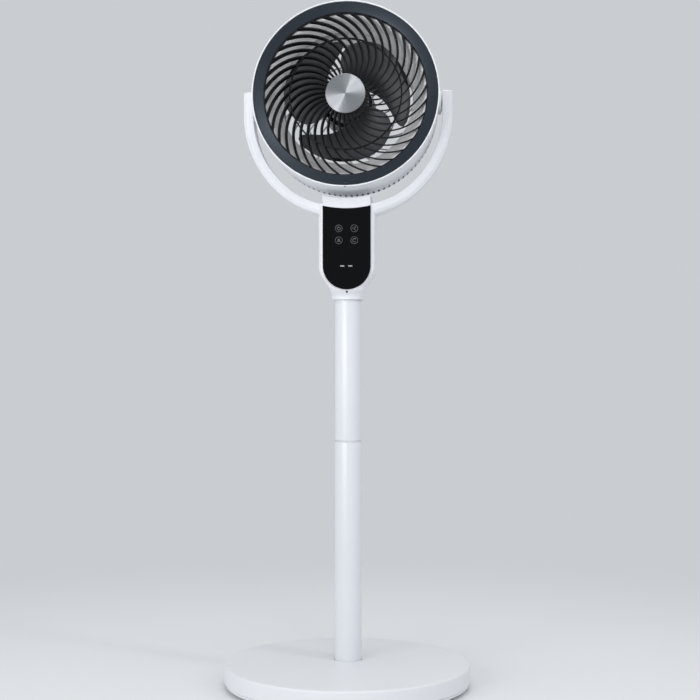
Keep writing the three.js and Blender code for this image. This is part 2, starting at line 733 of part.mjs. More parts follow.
function makeDrum() {
  const lipInner = drumFrontRadius - lipWidth;
  const outerCorner = drumProfile(0);
  const innerCorner = drumProfile(drumWall).reverse();
  const front = drumFront;
  const shell = revolve([[rearOpeningRadius, drumRear], ...outerCorner,
    [drumFrontRadius, front - 0.7], [drumFrontRadius - 0.7, front], [lipInner, front],
    [lipInner, bezelSeat - seatGap], [lipInner - 2.4, bezelSeat - seatGap],
    ...innerCorner, [rearOpeningRadius, drumRear + drumWall]], ventCount / 2);
  const trunnions = [-1, 1].map((side) => {
    const boss = rod(trunnionRadius, drumRearRadius - 8.5, trunnionEnd, 24);
    return boss.rotate([0, 90, 0]).rotate([0, side > 0 ? 0 : 180, 0]);
  });
  const bores = sideBar(pivotPinRadius + runningGap, 0, -200, 200);
  const vents = around(ventCount, (angle) => {
    const slot = block([-ventLength / 2, -ventWidth / 2, -2 * drumWall],
      [ventLength / 2, ventWidth / 2, 2 * drumWall]);
    const middle = drumCorner - drumWall / 2;
    const [r, z] = polar(middle, 315);
    return turned(slot.rotate([0, -45, 0])
      .translate([drumRearRadius - drumCorner + r, 0, drumRear + drumCorner + z]), angle + 180 / ventCount);
  });
  const screwHole = join(rod(1.15 + screwGap, -drumFrontRadius - 5, -drumFrontRadius + 8),
    rod(2.6 + screwGap, -drumFrontRadius - 5, -drumFrontRadius + 1.2)).rotate([-90, 0, 0])
    .translate([0, 0, screwDepth]);
  const rearScrewHoles = rearScrewAngles.map((angle) =>
    at(rod(1.5, drumRear - 1, drumRear + 9, 12), ...polar(rearScrewCircle, angle)));
  const rearBosses = rearScrewAngles.map((angle) =>
    at(rod(3.6, drumRear + 1, drumRear + 8, 16), ...polar(rearScrewCircle, angle)));
  const core = join(shell, ...trunnions, ...rearBosses);
  return cut(core, bores, screwHole, ...rearScrewHoles, ...vents);
}

const screwDepth = bezelSeat + 1.3;
const rearScrewCircle = rearOpeningRadius + 4.4;
const rearScrewAngles = around(3, (angle) => angle + 30);

function makeBezel() {
  const inner = bezelInnerRadius;
  const top = drumFront - 0.8;
  const ringBody = revolve([[bezelOuter, bezelSeat], [bezelOuter, top - 0.6], [bezelOuter - 0.6, top],
    [inner + 0.8, top - bezelDish], [inner, top - bezelDish - 0.8], [inner, bezelSeat - bezelDish],
    [inner + 4, bezelSeat]], 40);
  const pilot = rod(1.2, -bezelOuter - 1, -bezelOuter + 6).rotate([-90, 0, 0])
    .translate([0, 0, screwDepth]);
  return cut(ringBody, pilot);
}

// ---------------------------------------------------------------- spiral grille

// Angle that a rib has turned through at radius r, on its way from the hub to the rim.
function ribTurn(r) {
  const span = (r - hubCapRadius) / (bezelInnerRadius - hubCapRadius);
  return ribSweep * Math.pow(Math.max(span, 0), 1.5);
}

const ribSlope = (r) => ribTurn(r + 0.5) - ribTurn(r - 0.5);

// Points along one side of a rib, from inner to outer radius; shift is the distance from its middle.
function ribSide(inner, outer, shift, steps) {
  return Array.from({ length: steps + 1 }, (_, i) => {
    const r = blend(inner, outer, i / steps);
    const lean = Math.atan(r * THREE.MathUtils.degToRad(ribSlope(r)));
    const offset = shift / (r * Math.cos(lean));
    return polar(r, ribTurn(r) + THREE.MathUtils.radToDeg(offset));
  });
}

// The opening between a rib and the next one round.
function slotOutline(inner, outer, thickness, count, steps) {
  const left = ribSide(inner, outer, thickness / 2, steps);
  const right = ribSide(inner, outer, -thickness / 2, steps).map(([x, y]) => {
    const [cx, cy] = polar(1, 360 / count);
    return [x * cx - y * cy, x * cy + y * cx];
  });
  return [...right, ...left.reverse()];
}

// A round plate pierced by rows of spiral slots, each row between an inner and an outer radius.
function slottedPlate(radius, rows, thickness, count, steps, depth, phase) {
  const circle = around(count, (angle) => new THREE.Vector2(...polar(radius, angle)));
  const shape = new THREE.Shape(circle);
  rows.forEach(([inner, outer]) => {
    const slot = slotOutline(inner, outer, thickness, count, steps);
    around(count, (angle) => {
      const [cx, cy] = polar(1, angle + phase);
      shape.holes.push(new THREE.Path(slot.map(([x, y]) =>
        new THREE.Vector2(x * cx - y * cy, x * cy + y * cx))));
    });
  });
  return new THREE.ExtrudeGeometry(shape, { depth, bevelEnabled: false });
}

// Turns the back of a plate ahead of its front, so that the ribs stand like guide vanes.
function leanBack(geometry, depth, degrees) {
  const position = geometry.getAttribute("position");
  for (let i = 0; i < position.count; i++) {
    const [cx, cy] = polar(1, (degrees * (depth - position.getZ(i))) / depth);
    const [x, y] = [position.getX(i), position.getY(i)];
    position.setXY(i, x * cx - y * cy, x * cy + y * cx);
  }
  return geometry;
}

function makeFrontGrille() {
  const slotRow = [hubCapRadius - 1, bezelInnerRadius - 1];
  const rimRadius = bezelInnerRadius + grilleRingWidth;
  const plate = slottedPlate(rimRadius, [slotRow], ribThickness, ribCount, 3, ribDepth, ribPhase);
  const vanes = solidOf(leanBack(plate, ribDepth, ribLean)).translate([0, 0, grilleBack]);
  const bezelRoom = ring(rimRadius + 5, bezelInnerRadius - 0.4, bezelSeat - bezelDish - seatGap,
    grilleFront + 2, 36);
  const tie = ring(tieRingRadius + 0.8, tieRingRadius - 0.8, grilleBack + 0.6, grilleBack + 3, 36);
  const capSeat = rod(hubCapRadius + 0.5, grilleFront - 1.5, grilleFront + 2, 36);
  const hole = rod(hubStem + seatGap, grilleBack - 3, grilleFront + 3);
  return cut(join(vanes, tie), bezelRoom, capSeat, hole);
}

const hubStem = 3;

function makeHubCap() {
  const low = grilleFront - 1.5 + seatGap;
  const high = drumFront - 1.6;
  return revolve([[0, low - 6], [hubStem, low - 6], [hubStem, low], [hubCapRadius, low],
    [hubCapRadius, high - 0.8], [hubCapRadius - 0.8, high], [0, high - 0.4]], 36);
}

// ---------------------------------------------------------------- duct, rear grille and motor

function makeDuct() {
  const flange = bezelInnerRadius + grilleRingWidth;
  const mouth = bezelInnerRadius - 3;
  const mouthDepth = ductFront - 12;
  return revolve([[flange, ductFront], [flange, ductFront - 2], [mouth + ductWall, ductFront - 2],
    [ductThroat + ductWall, mouthDepth - 8], [ductThroat + ductWall, impellerRear - 6],
    [ductThroat + 6, ductRear], [ductThroat + 6 - ductWall, ductRear], [ductThroat, impellerRear - 6],
    [ductThroat, mouthDepth - 8], [mouth, ductFront]], 32);
}

const motorPlateRadius = motorRadius + 3;
const motorScrews = around(3, (angle) => angle + 30);
const motorScrewCircle = motorRadius - 5;
const motorPlateTop = motorRear - seatGap;
const rearRibCount = 18;

function makeRearGrille() {
  const seat = drumRear - seatGap;
  const outer = rearOpeningRadius + 8;
  const low = seat - 3;
  const middle = blend(motorPlateRadius, rearOpeningRadius - 7, 0.5);
  const rows = [[motorPlateRadius, middle - 1], [middle + 1, rearOpeningRadius - 7]];
  const plate = slottedPlate(outer, rows, 2, rearRibCount, 2, seat - low, 0);
  const grid = solidOf(plate).translate([0, 0, low]);
  const plug = ring(rearOpeningRadius - seatGap, rearOpeningRadius - 3, seat - 1, drumRear + 2, 36);
  const mount = rod(motorRadius - 0.6, seat - 1, motorPlateTop, 24);
  const screwHoles = motorScrews.map((angle) =>
    at(join(rod(1.5 + screwGap, low - 1, 0), rod(3.3, low - 1, low + 1.2, 16)),
      ...polar(motorScrewCircle, angle)));
  const rimHoles = rearScrewAngles.map((angle) =>
    at(rod(1.6 + screwGap, low - 1, seat + 1, 12), ...polar(rearScrewCircle, angle)));
  return cut(join(grid, plug, mount), ...screwHoles, ...rimHoles);
}

const ductRear = drumRear + 2 + seatGap;
const bearingPocket = bearingRadius + 0.1;
const rearBearingLow = motorRear + 3 + seatGap;
const coverLow = motorFront + seatGap;
const frontBearingLow = coverLow + 1;
const statorLow = motorRear + 13;
const statorHigh = motorFront - 4;

function makeMotorHousing() {
  const can = revolve([[0, motorRear], [motorRadius, motorRear], [motorRadius, motorFront],
    [motorRadius - motorWall, motorFront], [motorRadius - motorWall, motorRear + 3],
    [bearingPocket + 2.5, motorRear + 3], [bearingPocket + 2.5, rearBearingLow + bearingWidth - 1],
    [bearingPocket, rearBearingLow + bearingWidth - 1], [bearingPocket, motorRear + 3], [0, motorRear + 3]]);
  const pilots = motorScrews.map((angle) =>
    at(rod(1.35, motorRear - 1, motorRear + 2.2, 12), ...polar(motorScrewCircle, angle)));
  const slots = around(4, (angle) =>
    turned(block([motorRadius - 6, -3, motorRear + 6], [motorRadius + 3, 3, motorRear + 11]), angle + 10));
  return cut(can, ...pilots, ...slots);
}

function makeMotorCover() {
  const pocketTop = frontBearingLow + bearingWidth;
  return revolve([[motorRadius, coverLow], [motorRadius, coverLow + 2], [motorRadius - 1, coverLow + 3],
    [bearingPocket + 2.5, coverLow + 3], [bearingPocket + 2.5, pocketTop + 1.5],
    [bearingRadius - 3, pocketTop + 1.5], [bearingRadius - 3, pocketTop + seatGap],
    [bearingPocket, pocketTop + seatGap], [bearingPocket, coverLow]]);
}

function makeStator() {
  const outer = motorRadius - motorWall - seatGap;
  const inner = 19;
  const core = ring(outer, inner, statorLow, statorHigh, 18);
  const gaps = around(6, (angle) => {
    const mouth = block([inner - 1, -0.8, statorLow - 1], [inner + 2, 0.8, statorHigh + 1]);
    const bay = block([inner + 1.5, -2.6, statorLow - 1], [outer - 3, 2.6, statorHigh + 1]);
    return turned(join(mouth, bay), angle);
  });
  return cut(core, ...gaps);
}

const makeBearing = (low) => {
  const bore = shaftRadius + runningGap;
  return ring(bearingRadius, bore, low, low + bearingWidth, 18);
};

function buildMotor(parent) {
  part(parent, "motor_housing", makeMotorHousing(), motorBlack);
  part(parent, "motor_cover", makeMotorCover(), motorBlack);
  part(parent, "motor_stator", makeStator(), laminatedSteel);
  part(parent, "bearing_rear", makeBearing(rearBearingLow), zincSteel);
  part(parent, "bearing_front", makeBearing(frontBearingLow), zincSteel);
  motorScrews.forEach((angle, i) => {
    const fastener = part(parent, `motor_screw_${i + 1}`, screw(2.8, 1.2, 1.3, 6), zincSteel);
    fastener.position.set(...polar(motorScrewCircle, angle), drumRear - seatGap - 3);
  });
}

// ---------------------------------------------------------------- impeller

// One swept blade: sections from root to tip, each a thin cambered strip.
function makeBlade() {
  const sections = 7;
  const steps = 6;
  const root = impellerHubRadius - 1.5;
  const rings = Array.from({ length: sections }, (_, j) => {
    const u = j / (sections - 1);
    const r = blend(root, bladeTipRadius, u);
    const leading = 31 - 84 * u + 30 * u ** 4;
    const trailing = 100 - 40 * u ** 4;
    const face = (side) => Array.from({ length: steps + 1 }, (_, i) => {
      const s = i / steps;
      const thin = 0.35 + 0.65 * Math.sin(Math.PI * s);
      const [x, y] = polar(r, blend(leading, trailing, s));
      const rise = blend(impellerRear + 1, impellerFront - 4, s) + 4 * u * Math.sin(Math.PI * s);
      return [x, y, rise + (side * bladeThickness * thin) / 2];
    });
    return [...face(-1), ...face(1).reverse()];
  });
  return loft(rings, steps + 1);
}

function makeImpeller() {
  const hub = revolve([[impellerHubRadius - 0.5, impellerRear], [impellerHubRadius, impellerFront - 5],
    [impellerHubRadius - 4, impellerFront - 1], [10, impellerFront], [shaftRadius + 0.05, impellerFront],
    [shaftRadius + 0.05, impellerRear + 6], [8, impellerRear + 6], [8, impellerFront - 3.5],
    [impellerHubRadius - 5, impellerFront - 4], [impellerHubRadius - 2.6, impellerRear]], 30);
  const blades = around(bladeCount, (angle) => turned(makeBlade(), angle));
  return join(hub, ...blades);
}

function buildImpeller(parent) {
  part(parent, "impeller", makeImpeller(), greyBlade);
  part(parent, "motor_shaft", rod(shaftRadius, rearBearingLow, impellerFront + 8, 24), zincSteel);
  part(parent, "motor_rotor",
    ring(18.4, shaftRadius + 0.05, statorLow + 1, statorHigh - 1, 24), laminatedSteel);
  const nut = cut(rod(7.5, impellerFront + seatGap, impellerFront + 6, 6),
    rod(shaftRadius + 0.05, impellerFront, impellerFront + 9, 24));
  part(parent, "spinner_nut", nut, nylon);
}

// ---------------------------------------------------------------- head and whole

function buildHead(parent) {
  part(parent, "drum_shell", makeDrum(), whitePlastic);
  part(parent, "bezel_ring", makeBezel(), darkSatin);
  part(parent, "front_grille", makeFrontGrille(), darkSatin);
  part(parent, "hub_cap", makeHubCap(), spunAluminium);
  part(parent, "air_duct", makeDuct(), whitePlastic);
  part(parent, "rear_grille", makeRearGrille(), whitePlastic);
  const gripScrew = part(parent, "bezel_screw", screw(2.6, 1, 1.1, 6.5).rotate([-90, 0, 0]), zincSteel);
  gripScrew.position.set(0, -drumFrontRadius - 0.1, screwDepth);
  rearScrewAngles.forEach((angle, i) => {
    const fastener = part(parent, `rear_screw_${i + 1}`, screw(3.2, 1.6, 1.4, 10), zincSteel);
    fastener.position.set(...polar(rearScrewCircle, angle), drumRear - seatGap - 3 - seatGap - 1.6);
  });
  buildMotor(parent);
  buildImpeller(parent);
}

const fan = new THREE.Group();
buildBase(fan);

const column = new THREE.Group();
column.position.y = columnSetback;
buildColumn(column);
fan.add(column);

const neck = new THREE.Group();
neck.position.y = columnSetback;
buildNeck(neck);
buildPivots(neck);
fan.add(neck);

// In the head's own frame +Z is the fan axis towards the front and +Y points up.
const head = new THREE.Group();
head.position.set(0, columnSetback, pivotHeight);
head.rotation.x = THREE.MathUtils.degToRad(90 - headTilt);
buildHead(head);
fan.add(head);

export default fan;
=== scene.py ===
import json
import math
import bmesh
import bpy
from mathutils import Matrix, Vector


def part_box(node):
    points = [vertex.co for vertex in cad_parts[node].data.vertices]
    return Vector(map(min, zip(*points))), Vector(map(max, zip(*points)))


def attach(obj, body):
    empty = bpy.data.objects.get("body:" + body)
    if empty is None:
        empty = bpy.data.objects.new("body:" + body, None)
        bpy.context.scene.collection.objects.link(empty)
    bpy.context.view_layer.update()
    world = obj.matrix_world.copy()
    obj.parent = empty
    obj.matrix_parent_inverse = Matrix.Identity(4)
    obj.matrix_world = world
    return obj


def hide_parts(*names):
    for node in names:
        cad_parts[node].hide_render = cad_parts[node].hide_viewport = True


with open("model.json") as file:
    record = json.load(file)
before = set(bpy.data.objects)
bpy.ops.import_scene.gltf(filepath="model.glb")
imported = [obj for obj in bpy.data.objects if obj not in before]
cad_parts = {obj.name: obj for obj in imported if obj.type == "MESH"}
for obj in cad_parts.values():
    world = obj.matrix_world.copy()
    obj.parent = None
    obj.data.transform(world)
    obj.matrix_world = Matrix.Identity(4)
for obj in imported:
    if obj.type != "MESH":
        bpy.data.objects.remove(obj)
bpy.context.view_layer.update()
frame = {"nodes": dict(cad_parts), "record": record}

print("frame loaded:", len(frame["nodes"]), "nodes")

mm = 0.001
# Points closer than weld are one point and lengths under tiny are nothing, in metres or millimetres.
weld, tiny = 2e-6, 1e-6

# What every piece is built from: the column's axis behind the frame's, the height of the tilt axis and
# how far the head looks up, in millimetres and degrees.
columnBack, tiltHeight, headTilt = 20.0, 808.0, 3.5


def moved(x, y, z):
    return Matrix.Translation((x, y, z))


def turned(degrees, axis):
    return Matrix.Rotation(math.radians(degrees), 4, axis)


columnAxis = moved(0, columnBack, 0)
headAxis = moved(0, columnBack, tiltHeight) @ turned(90 - headTilt, "X")


def blend(start, end, share):
    return start + (end - start) * share


def smoothStep(value, low, high):
    share = min(max((value - low) / (high - low), 0.0), 1.0)
    return share * share * (3 - 2 * share)


def polar(radius, degrees):
    turn = math.radians(degrees)
    return radius * math.cos(turn), radius * math.sin(turn)


# A colour from sRGB hex to linear, with alpha.
def hexColour(code):
    parts = [int(code[i:i + 2], 16) / 255 for i in (1, 3, 5)]
    linear = [c / 12.92 if c <= 0.04045 else ((c + 0.055) / 1.055) ** 2.4 for c in parts]
    return (*linear, 1.0)


def addObject(name, data):
    thing = bpy.data.objects.new(name, data)
    bpy.context.scene.collection.objects.link(thing)
    return thing


# Points in millimetres; the matrix places them in the object's frame.
def makePiece(name, points, faces, matrix=None, sharp=32):
    mesh = bpy.data.meshes.new(name)
    placed = [(matrix @ Vector(p) if matrix else Vector(p)) * mm for p in points]
    mesh.from_pydata(placed, [], faces)
    mesh.update()
    return cleanUp(addObject(name, mesh), sharp)


def cleanUp(piece, sharp):
    work = bmesh.new()
    work.from_mesh(piece.data)
    bmesh.ops.remove_doubles(work, verts=work.verts, dist=weld)
    bmesh.ops.dissolve_degenerate(work, edges=work.edges, dist=tiny)
    bmesh.ops.recalc_face_normals(work, faces=work.faces)
    work.to_mesh(piece.data)
    work.free()
    piece.data.shade_smooth()
    piece.data.set_sharp_from_angle(angle=math.radians(sharp))
    return piece


# A closed outline from its corners in order, each (across, up, fillet radius).
def rounded(corners, steps):
    line = []
    count = len(corners)
    for i, (x, y, radius) in enumerate(corners):
        here = Vector((x, y))
        before = Vector(corners[i - 1][:2]) - here
        after = Vector(corners[(i + 1) % count][:2]) - here
        if radius <= 0 or before.length < tiny or after.length < tiny:
            line.append((x, y))
            continue
        half = before.angle(after) / 2
        reach = min(radius / math.tan(half), before.length * 0.49, after.length * 0.49)
        start, end = here + before.normalized() * reach, here + after.normalized() * reach
        for k in range(steps + 1):
            t = k / steps
            spot = start * (1 - t) ** 2 + here * 2 * t * (1 - t) + end * t ** 2
            line.append((spot.x, spot.y))
    return line


# An outline with corners at (radius, height, fillet radius), turned round the Z axis of the matrix.
def turnPiece(name, corners, filletSteps, steps, matrix=None, sharp=32):
    points, faces, outline = [], [], rounded(corners, filletSteps)
    count = len(outline)
    for k in range(steps):
        cx, cy = polar(1, 360 * k / steps)
        points += [(r * cx, r * cy, z) for r, z in outline]
        here, ahead = k * count, (k + 1) % steps * count
        for i in range(count):
            j = (i + 1) % count
            if max(outline[i][0], outline[j][0]) >= tiny:
                faces.append((here + i, here + j, ahead + j, ahead + i))
    return makePiece(name, points, faces, matrix, sharp)


# Closed rings of equal length, skinned in order and capped.
def skinPiece(name, rings, matrix=None, sharp=32):
    count = len(rings[0])
    points = [p for ring in rings for p in ring]
    faces = [tuple(reversed(range(count)))]
    for j in range(len(rings) - 1):
        for i in range(count):
            a, b = j * count + i, j * count + (i + 1) % count
            faces.append((a, b, b + count, a + count))
    last = (len(rings) - 1) * count
    faces.append(tuple(range(last, last + count)))
    return makePiece(name, points, faces, matrix, sharp)


# An outline in the XZ plane of the column, drawn out from a front to a back depth.
def uprightPrism(name, outline, front, back):
    rings = [[(x, y, z) for x, z in outline] for y in (back, front)]
    return skinPiece(name, rings, columnAxis)


def applyModifiers(piece):
    graph = bpy.context.evaluated_depsgraph_get()
    mesh = bpy.data.meshes.new_from_object(piece.evaluated_get(graph))
    piece.modifiers.clear()
    old = piece.data
    piece.data = mesh
    bpy.data.meshes.remove(old)


# Joins or cuts a piece with tools, which are used up.
def combine(piece, tools, how="DIFFERENCE", sharp=32):
    for tool in tools:
        change = piece.modifiers.new("shape", "BOOLEAN")
        change.operation = how
        change.solver = "EXACT"
        change.object = tool
        bpy.context.view_layer.update()
        applyModifiers(piece)
        bpy.data.objects.remove(tool)
    return cleanUp(piece, sharp)


# Properties, input values and incoming links of a node. An input goes by its name or number, and a
# node as a value stands for its first output.
def setNode(tree, node, settings):
    for key, value in settings.items():
        if isinstance(value, bpy.types.Node):
            value = value.outputs[0]
        if isinstance(value, bpy.types.NodeSocket):
            tree.links.new(value, node.inputs[key])
        elif isinstance(key, str) and hasattr(node, key):
            setattr(node, key, value)
        else:
            node.inputs[key].default_value = value


def addNode(tree, kind, settings=None):
    node = tree.nodes.new(kind)
    setNode(tree, node, settings or {})
    return node


# Every plastic, paint and metal starts from this: a slow drift in tone and gloss, as wide as given in
# millimetres, and a raised grain of a width, a height and a strength.
def surfaceMaterial(name, colours, drift, roughness, grain, shader):
    material = bpy.data.materials.new(name)
    material.use_nodes = True
    tree = material.node_tree
    around = addNode(tree, "ShaderNodeTexCoord").outputs["Object"]
    change = addNode(tree, "ShaderNodeTexNoise", {
        "Scale": 1000 / drift, "Detail": 3.0, "Roughness": 0.55, "Vector": around})
    first, second = [hexColour(code) for code in colours]
    tone = addNode(tree, "ShaderNodeMix", {"data_type": "RGBA", 6: first, 7: second, 0: change})
    low, high = roughness
    gloss = addNode(tree, "ShaderNodeMapRange", {
        "From Min": 0.3, "From Max": 0.7, "To Min": low, "To Max": high, "Value": change})
    width, height, strength = grain
    raised = addNode(tree, "ShaderNodeTexNoise", {
        "Scale": 1000 / width, "Detail": 2.0, "Roughness": 0.6, "Vector": around})
    bump = addNode(tree, "ShaderNodeBump", {"Strength": strength, "Distance": height * mm, "Height": raised})
    setNode(tree, tree.nodes["Principled BSDF"], {
        **shader, "Base Color": tone.outputs[2], "Roughness": gloss, "Normal": bump})
    return material


# ABS moulded in a lightly spark-eroded tool: cool white, satin, with a grain that softens highlights.
# The real grain is 0.2 mm; it is drawn at 0.9 mm so that it shows in the render.
mouldedAbsWhite = surfaceMaterial(
    "moulded ABS, cool white", ("#e3e6ea", "#e9ebee"), drift=90, roughness=(0.34, 0.42),
    grain=(0.9, 0.03, 0.25), shader={"IOR": 1.53})

# The same white ABS for the duct behind the grille, painted a shade lighter: the brighter white is painted
# light that stands in for light the deep duct and its ribs keep out.
ductWhitePaintedLight = surfaceMaterial(
    "moulded ABS, white lightened as painted light", ("#f4f5f7", "#fafbfc"), drift=90, roughness=(0.3, 0.4),
    grain=(0.9, 0.03, 0.2), shader={"IOR": 1.53})

# Steel tube in baked polyester powder: a touch glossier, with the slow ripple of orange peel.
powderCoatWhite = surfaceMaterial(
    "powder-coated steel, white", ("#dfe3e8", "#e6e9ed"), drift=120, roughness=(0.27, 0.33),
    grain=(2.2, 0.05, 0.3), shader={"IOR": 1.52, "Coat Weight": 0.25, "Coat Roughness": 0.2})

# Slate paint with fine aluminium flake over ABS: dark, with a broad metallic sheen across the ring.
slateSatinPaint = surfaceMaterial(
    "satin slate metallic paint", ("#262c34", "#2c333c"), drift=60, roughness=(0.26, 0.32),
    grain=(0.7, 0.02, 0.25), shader={"Metallic": 0.6})

# Carbon-black ABS: the ribs stay nearly black and only their edges catch light.
mouldedAbsBlack = surfaceMaterial(
    "moulded ABS, black", ("#070708", "#0c0d0f"), drift=40, roughness=(0.32, 0.42),
    grain=(0.8, 0.02, 0.2), shader={"Specular IOR Level": 0.2})

# Glass-filled nylon of the impeller: mid grey, matt, slightly mottled by the fibres.
filledNylonGrey = surfaceMaterial(
    "glass-filled nylon, grey", ("#434448", "#4d4e53"), drift=25, roughness=(0.36, 0.46),
    grain=(1.0, 0.03, 0.3), shader={"IOR": 1.53})

# Black acrylic, flow-polished: near-mirror gloss with the faint waviness of an injected window.
polishedAcrylicBlack = surfaceMaterial(
    "polished acrylic, black", ("#050608", "#07080b"), drift=50, roughness=(0.05, 0.08),
    grain=(30, 0.02, 0.15), shader={"Specular IOR Level": 0.12})

# Cast iron, dip-painted: dark, rough and pitted.
castIronPainted = surfaceMaterial(
    "cast iron, dip-painted", ("#2c2e31", "#3a3c3f"), drift=12, roughness=(0.55, 0.75),
    grain=(1.8, 0.25, 0.6), shader={"Metallic": 0.3})

# Zinc-plated steel: pale grey metal with the blotchy passivation of small fasteners.
zincPlatedSteel = surfaceMaterial(
    "zinc-plated steel", ("#9fa4a8", "#b9bcbb"), drift=5, roughness=(0.28, 0.42),
    grain=(0.6, 0.02, 0.25), shader={"Metallic": 1.0})

# Unfilled nylon: translucent off-white, soft sheen.
naturalNylon = surfaceMaterial(
    "natural nylon", ("#d9dad7", "#e2e3e0"), drift=15, roughness=(0.38, 0.48),
    grain=(0.8, 0.03, 0.3), shader={"IOR": 1.53, "Subsurface Weight": 0.08, "Subsurface Scale": 0.002})

# Moulded rubber of the feet: black, dusty matt.
mouldedRubber = surfaceMaterial(
    "moulded rubber, black", ("#131416", "#1c1d1f"), drift=8, roughness=(0.7, 0.85),
    grain=(0.7, 0.05, 0.5), shader={"IOR": 1.52})

# Glass-epoxy board under green solder mask, with the weave showing faintly.
solderMaskGreen = surfaceMaterial(
    "glass-epoxy board, green mask", ("#144a30", "#1b5a3b"), drift=3, roughness=(0.3, 0.42),
    grain=(0.9, 0.03, 0.4), shader={"IOR": 1.5})

# Stamped electrical steel, stacked and varnished.
varnishedLaminations = surfaceMaterial(
    "varnished steel laminations", ("#565b61", "#747980"), drift=4, roughness=(0.35, 0.5),
    grain=(0.5, 0.08, 0.5), shader={"Metallic": 0.9})
print("materials made")

# The look of each slot in the record. The CAD nodes that stay take the look of their slot.
slotLooks = dict(
    white_abs=mouldedAbsWhite, white_tube=powderCoatWhite, cast_iron=castIronPainted, nylon=naturalNylon,
    zinc_steel=zincPlatedSteel, black_glass=polishedAcrylicBlack, circuit_board=solderMaskGreen,
    black_plastic=mouldedAbsBlack, rubber=mouldedRubber, dark_satin=slateSatinPaint,
    laminated_steel=varnishedLaminations, grey_blade=filledNylonGrey,
)
for subpart in frame["record"]["subparts"]:
    look = slotLooks.get(subpart["material_slot"])
    if look:
        for materialSlot in frame["nodes"][subpart["node"]].material_slots:
            materialSlot.material = look
print("CAD nodes finished")


# Body, record slot and the CAD nodes that the piece stands for; without a look it takes its slot's.
def finishPiece(piece, body, slot, *nodes, look=None):
    piece.data.materials.clear()
    piece.data.materials.append(look or slotLooks[slot])
    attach(piece, body)
    if nodes:
        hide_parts(*nodes)


def numbered(name, count):
    return [f"{name}_{i + 1}" for i in range(count)]


# A tree that sets copies of a mesh round the Z axis, each turned to face outwards, and merges them.
def makeRoundTree():
    tree = bpy.data.node_groups.new("copies round an axis", "GeometryNodeTree")
    for name, kind in (("Geometry", "Geometry"), ("Count", "Int"), ("Radius", "Float"),
                       ("First Angle", "Float"), ("Material", "Material")):
        tree.interface.new_socket(name, in_out="INPUT", socket_type="NodeSocket" + kind)
    tree.interface.new_socket("Geometry", in_out="OUTPUT", socket_type="NodeSocketGeometry")
    given = addNode(tree, "NodeGroupInput").outputs
    index = addNode(tree, "GeometryNodeInputIndex")
    pitch = addNode(tree, "ShaderNodeMath", {"operation": "DIVIDE", 0: math.tau, 1: given["Count"]})
    angle = addNode(tree, "ShaderNodeMath", {
        "operation": "MULTIPLY_ADD", 0: index, 1: pitch, 2: given["First Angle"]})
    turn = addNode(tree, "ShaderNodeCombineXYZ", {"Z": angle})
    outwards = addNode(tree, "ShaderNodeCombineXYZ", {"X": given["Radius"]})
    spot = addNode(tree, "ShaderNodeVectorRotate", {
        "rotation_type": "Z_AXIS", "Vector": outwards, "Angle": angle})
    points = addNode(tree, "GeometryNodePoints", {"Count": given["Count"], "Position": spot})
    copies = addNode(tree, "GeometryNodeInstanceOnPoints", {
        "Points": points, "Instance": given["Geometry"], "Rotation": turn})
    merged = addNode(tree, "GeometryNodeRealizeInstances", {"Geometry": copies})
    looked = addNode(tree, "GeometryNodeSetMaterial", {"Geometry": merged, "Material": given["Material"]})
    addNode(tree, "NodeGroupOutput", {"Geometry": looked})
    return tree


roundTree = makeRoundTree()


# The piece is drawn about the origin in millimetres; its copies are then set in place by the matrix.
def copiesRound(piece, look, count, matrix, radius=0.0, firstAngle=0.0):
    change = piece.modifiers.new("copies", "NODES")
    change.node_group = roundTree
    first = math.radians(firstAngle)
    values = {"Count": count, "Radius": radius * mm, "First Angle": first, "Material": look}
    for socket in roundTree.interface.items_tree:
        if socket.name in values:
            change[socket.identifier] = values[socket.name]
    bpy.context.view_layer.update()
    applyModifiers(piece)
    return setDown(piece, matrix)


# A finished mesh, in metres already, moved by a matrix in millimetres.
def setDown(piece, matrix):
    placed = matrix.copy()
    placed.translation = matrix.translation * mm
    piece.data.transform(placed)
    return piece


# Adds the meshes of other pieces to a piece, and drops the others.
def gather(piece, others, name=None):
    piece.name = name or piece.name
    work = bmesh.new()
    work.from_mesh(piece.data)
    for other in others:
        work.from_mesh(other.data)
        bpy.data.objects.remove(other)
    work.to_mesh(piece.data)
    work.free()
    return piece


# A ring of square section; the four eases go round the section from its inner low corner.
def ringPiece(name, inner, outer, low, high, eases, filletSteps, steps, matrix=None):
    corners = list(zip((inner, outer, outer, inner), (low, low, high, high), eases))
    return turnPiece(name, corners, filletSteps, steps, matrix)


# A round bar between two heights, with its edges eased, for a boss or for a cut.
def barPiece(name, radius, low, high, steps=48, ease=0.0, matrix=None):
    return ringPiece(name, 0, radius, low, high, (0, ease, ease, 0), 4, steps, matrix)


def boxPiece(name, low, high, matrix=None):
    (x0, y0, z0), (x1, y1, z1) = low, high
    rings = [[(x0, y0, z), (x1, y0, z), (x1, y1, z), (x0, y1, z)] for z in (z0, z1)]
    return skinPiece(name, rings, matrix)


# A cross-recessed pan-head screw, head down at height 0 and shank up.
def screwPiece(name, s, length):
    head, high, shank = s["head"], s["headHeight"], s["shank"]
    screw = turnPiece(name, [
        (0, 0, 0), (head * 0.72, 0, head * 0.4), (head, high * 0.7, high * 0.4), (head, high, 0.1),
        (shank, high, 0.15), (shank, length - shank, 0.3), (shank * 0.3, length, 0.1), (0, length, 0)],
        4, 32)
    reach, width, depth = head * 0.5, head * 0.13, high * 0.6
    wings = [boxPiece("wing", (-a, -b, -1), (a, b, depth)) for a, b in ((reach, width), (width, reach))]
    return combine(screw, wings)


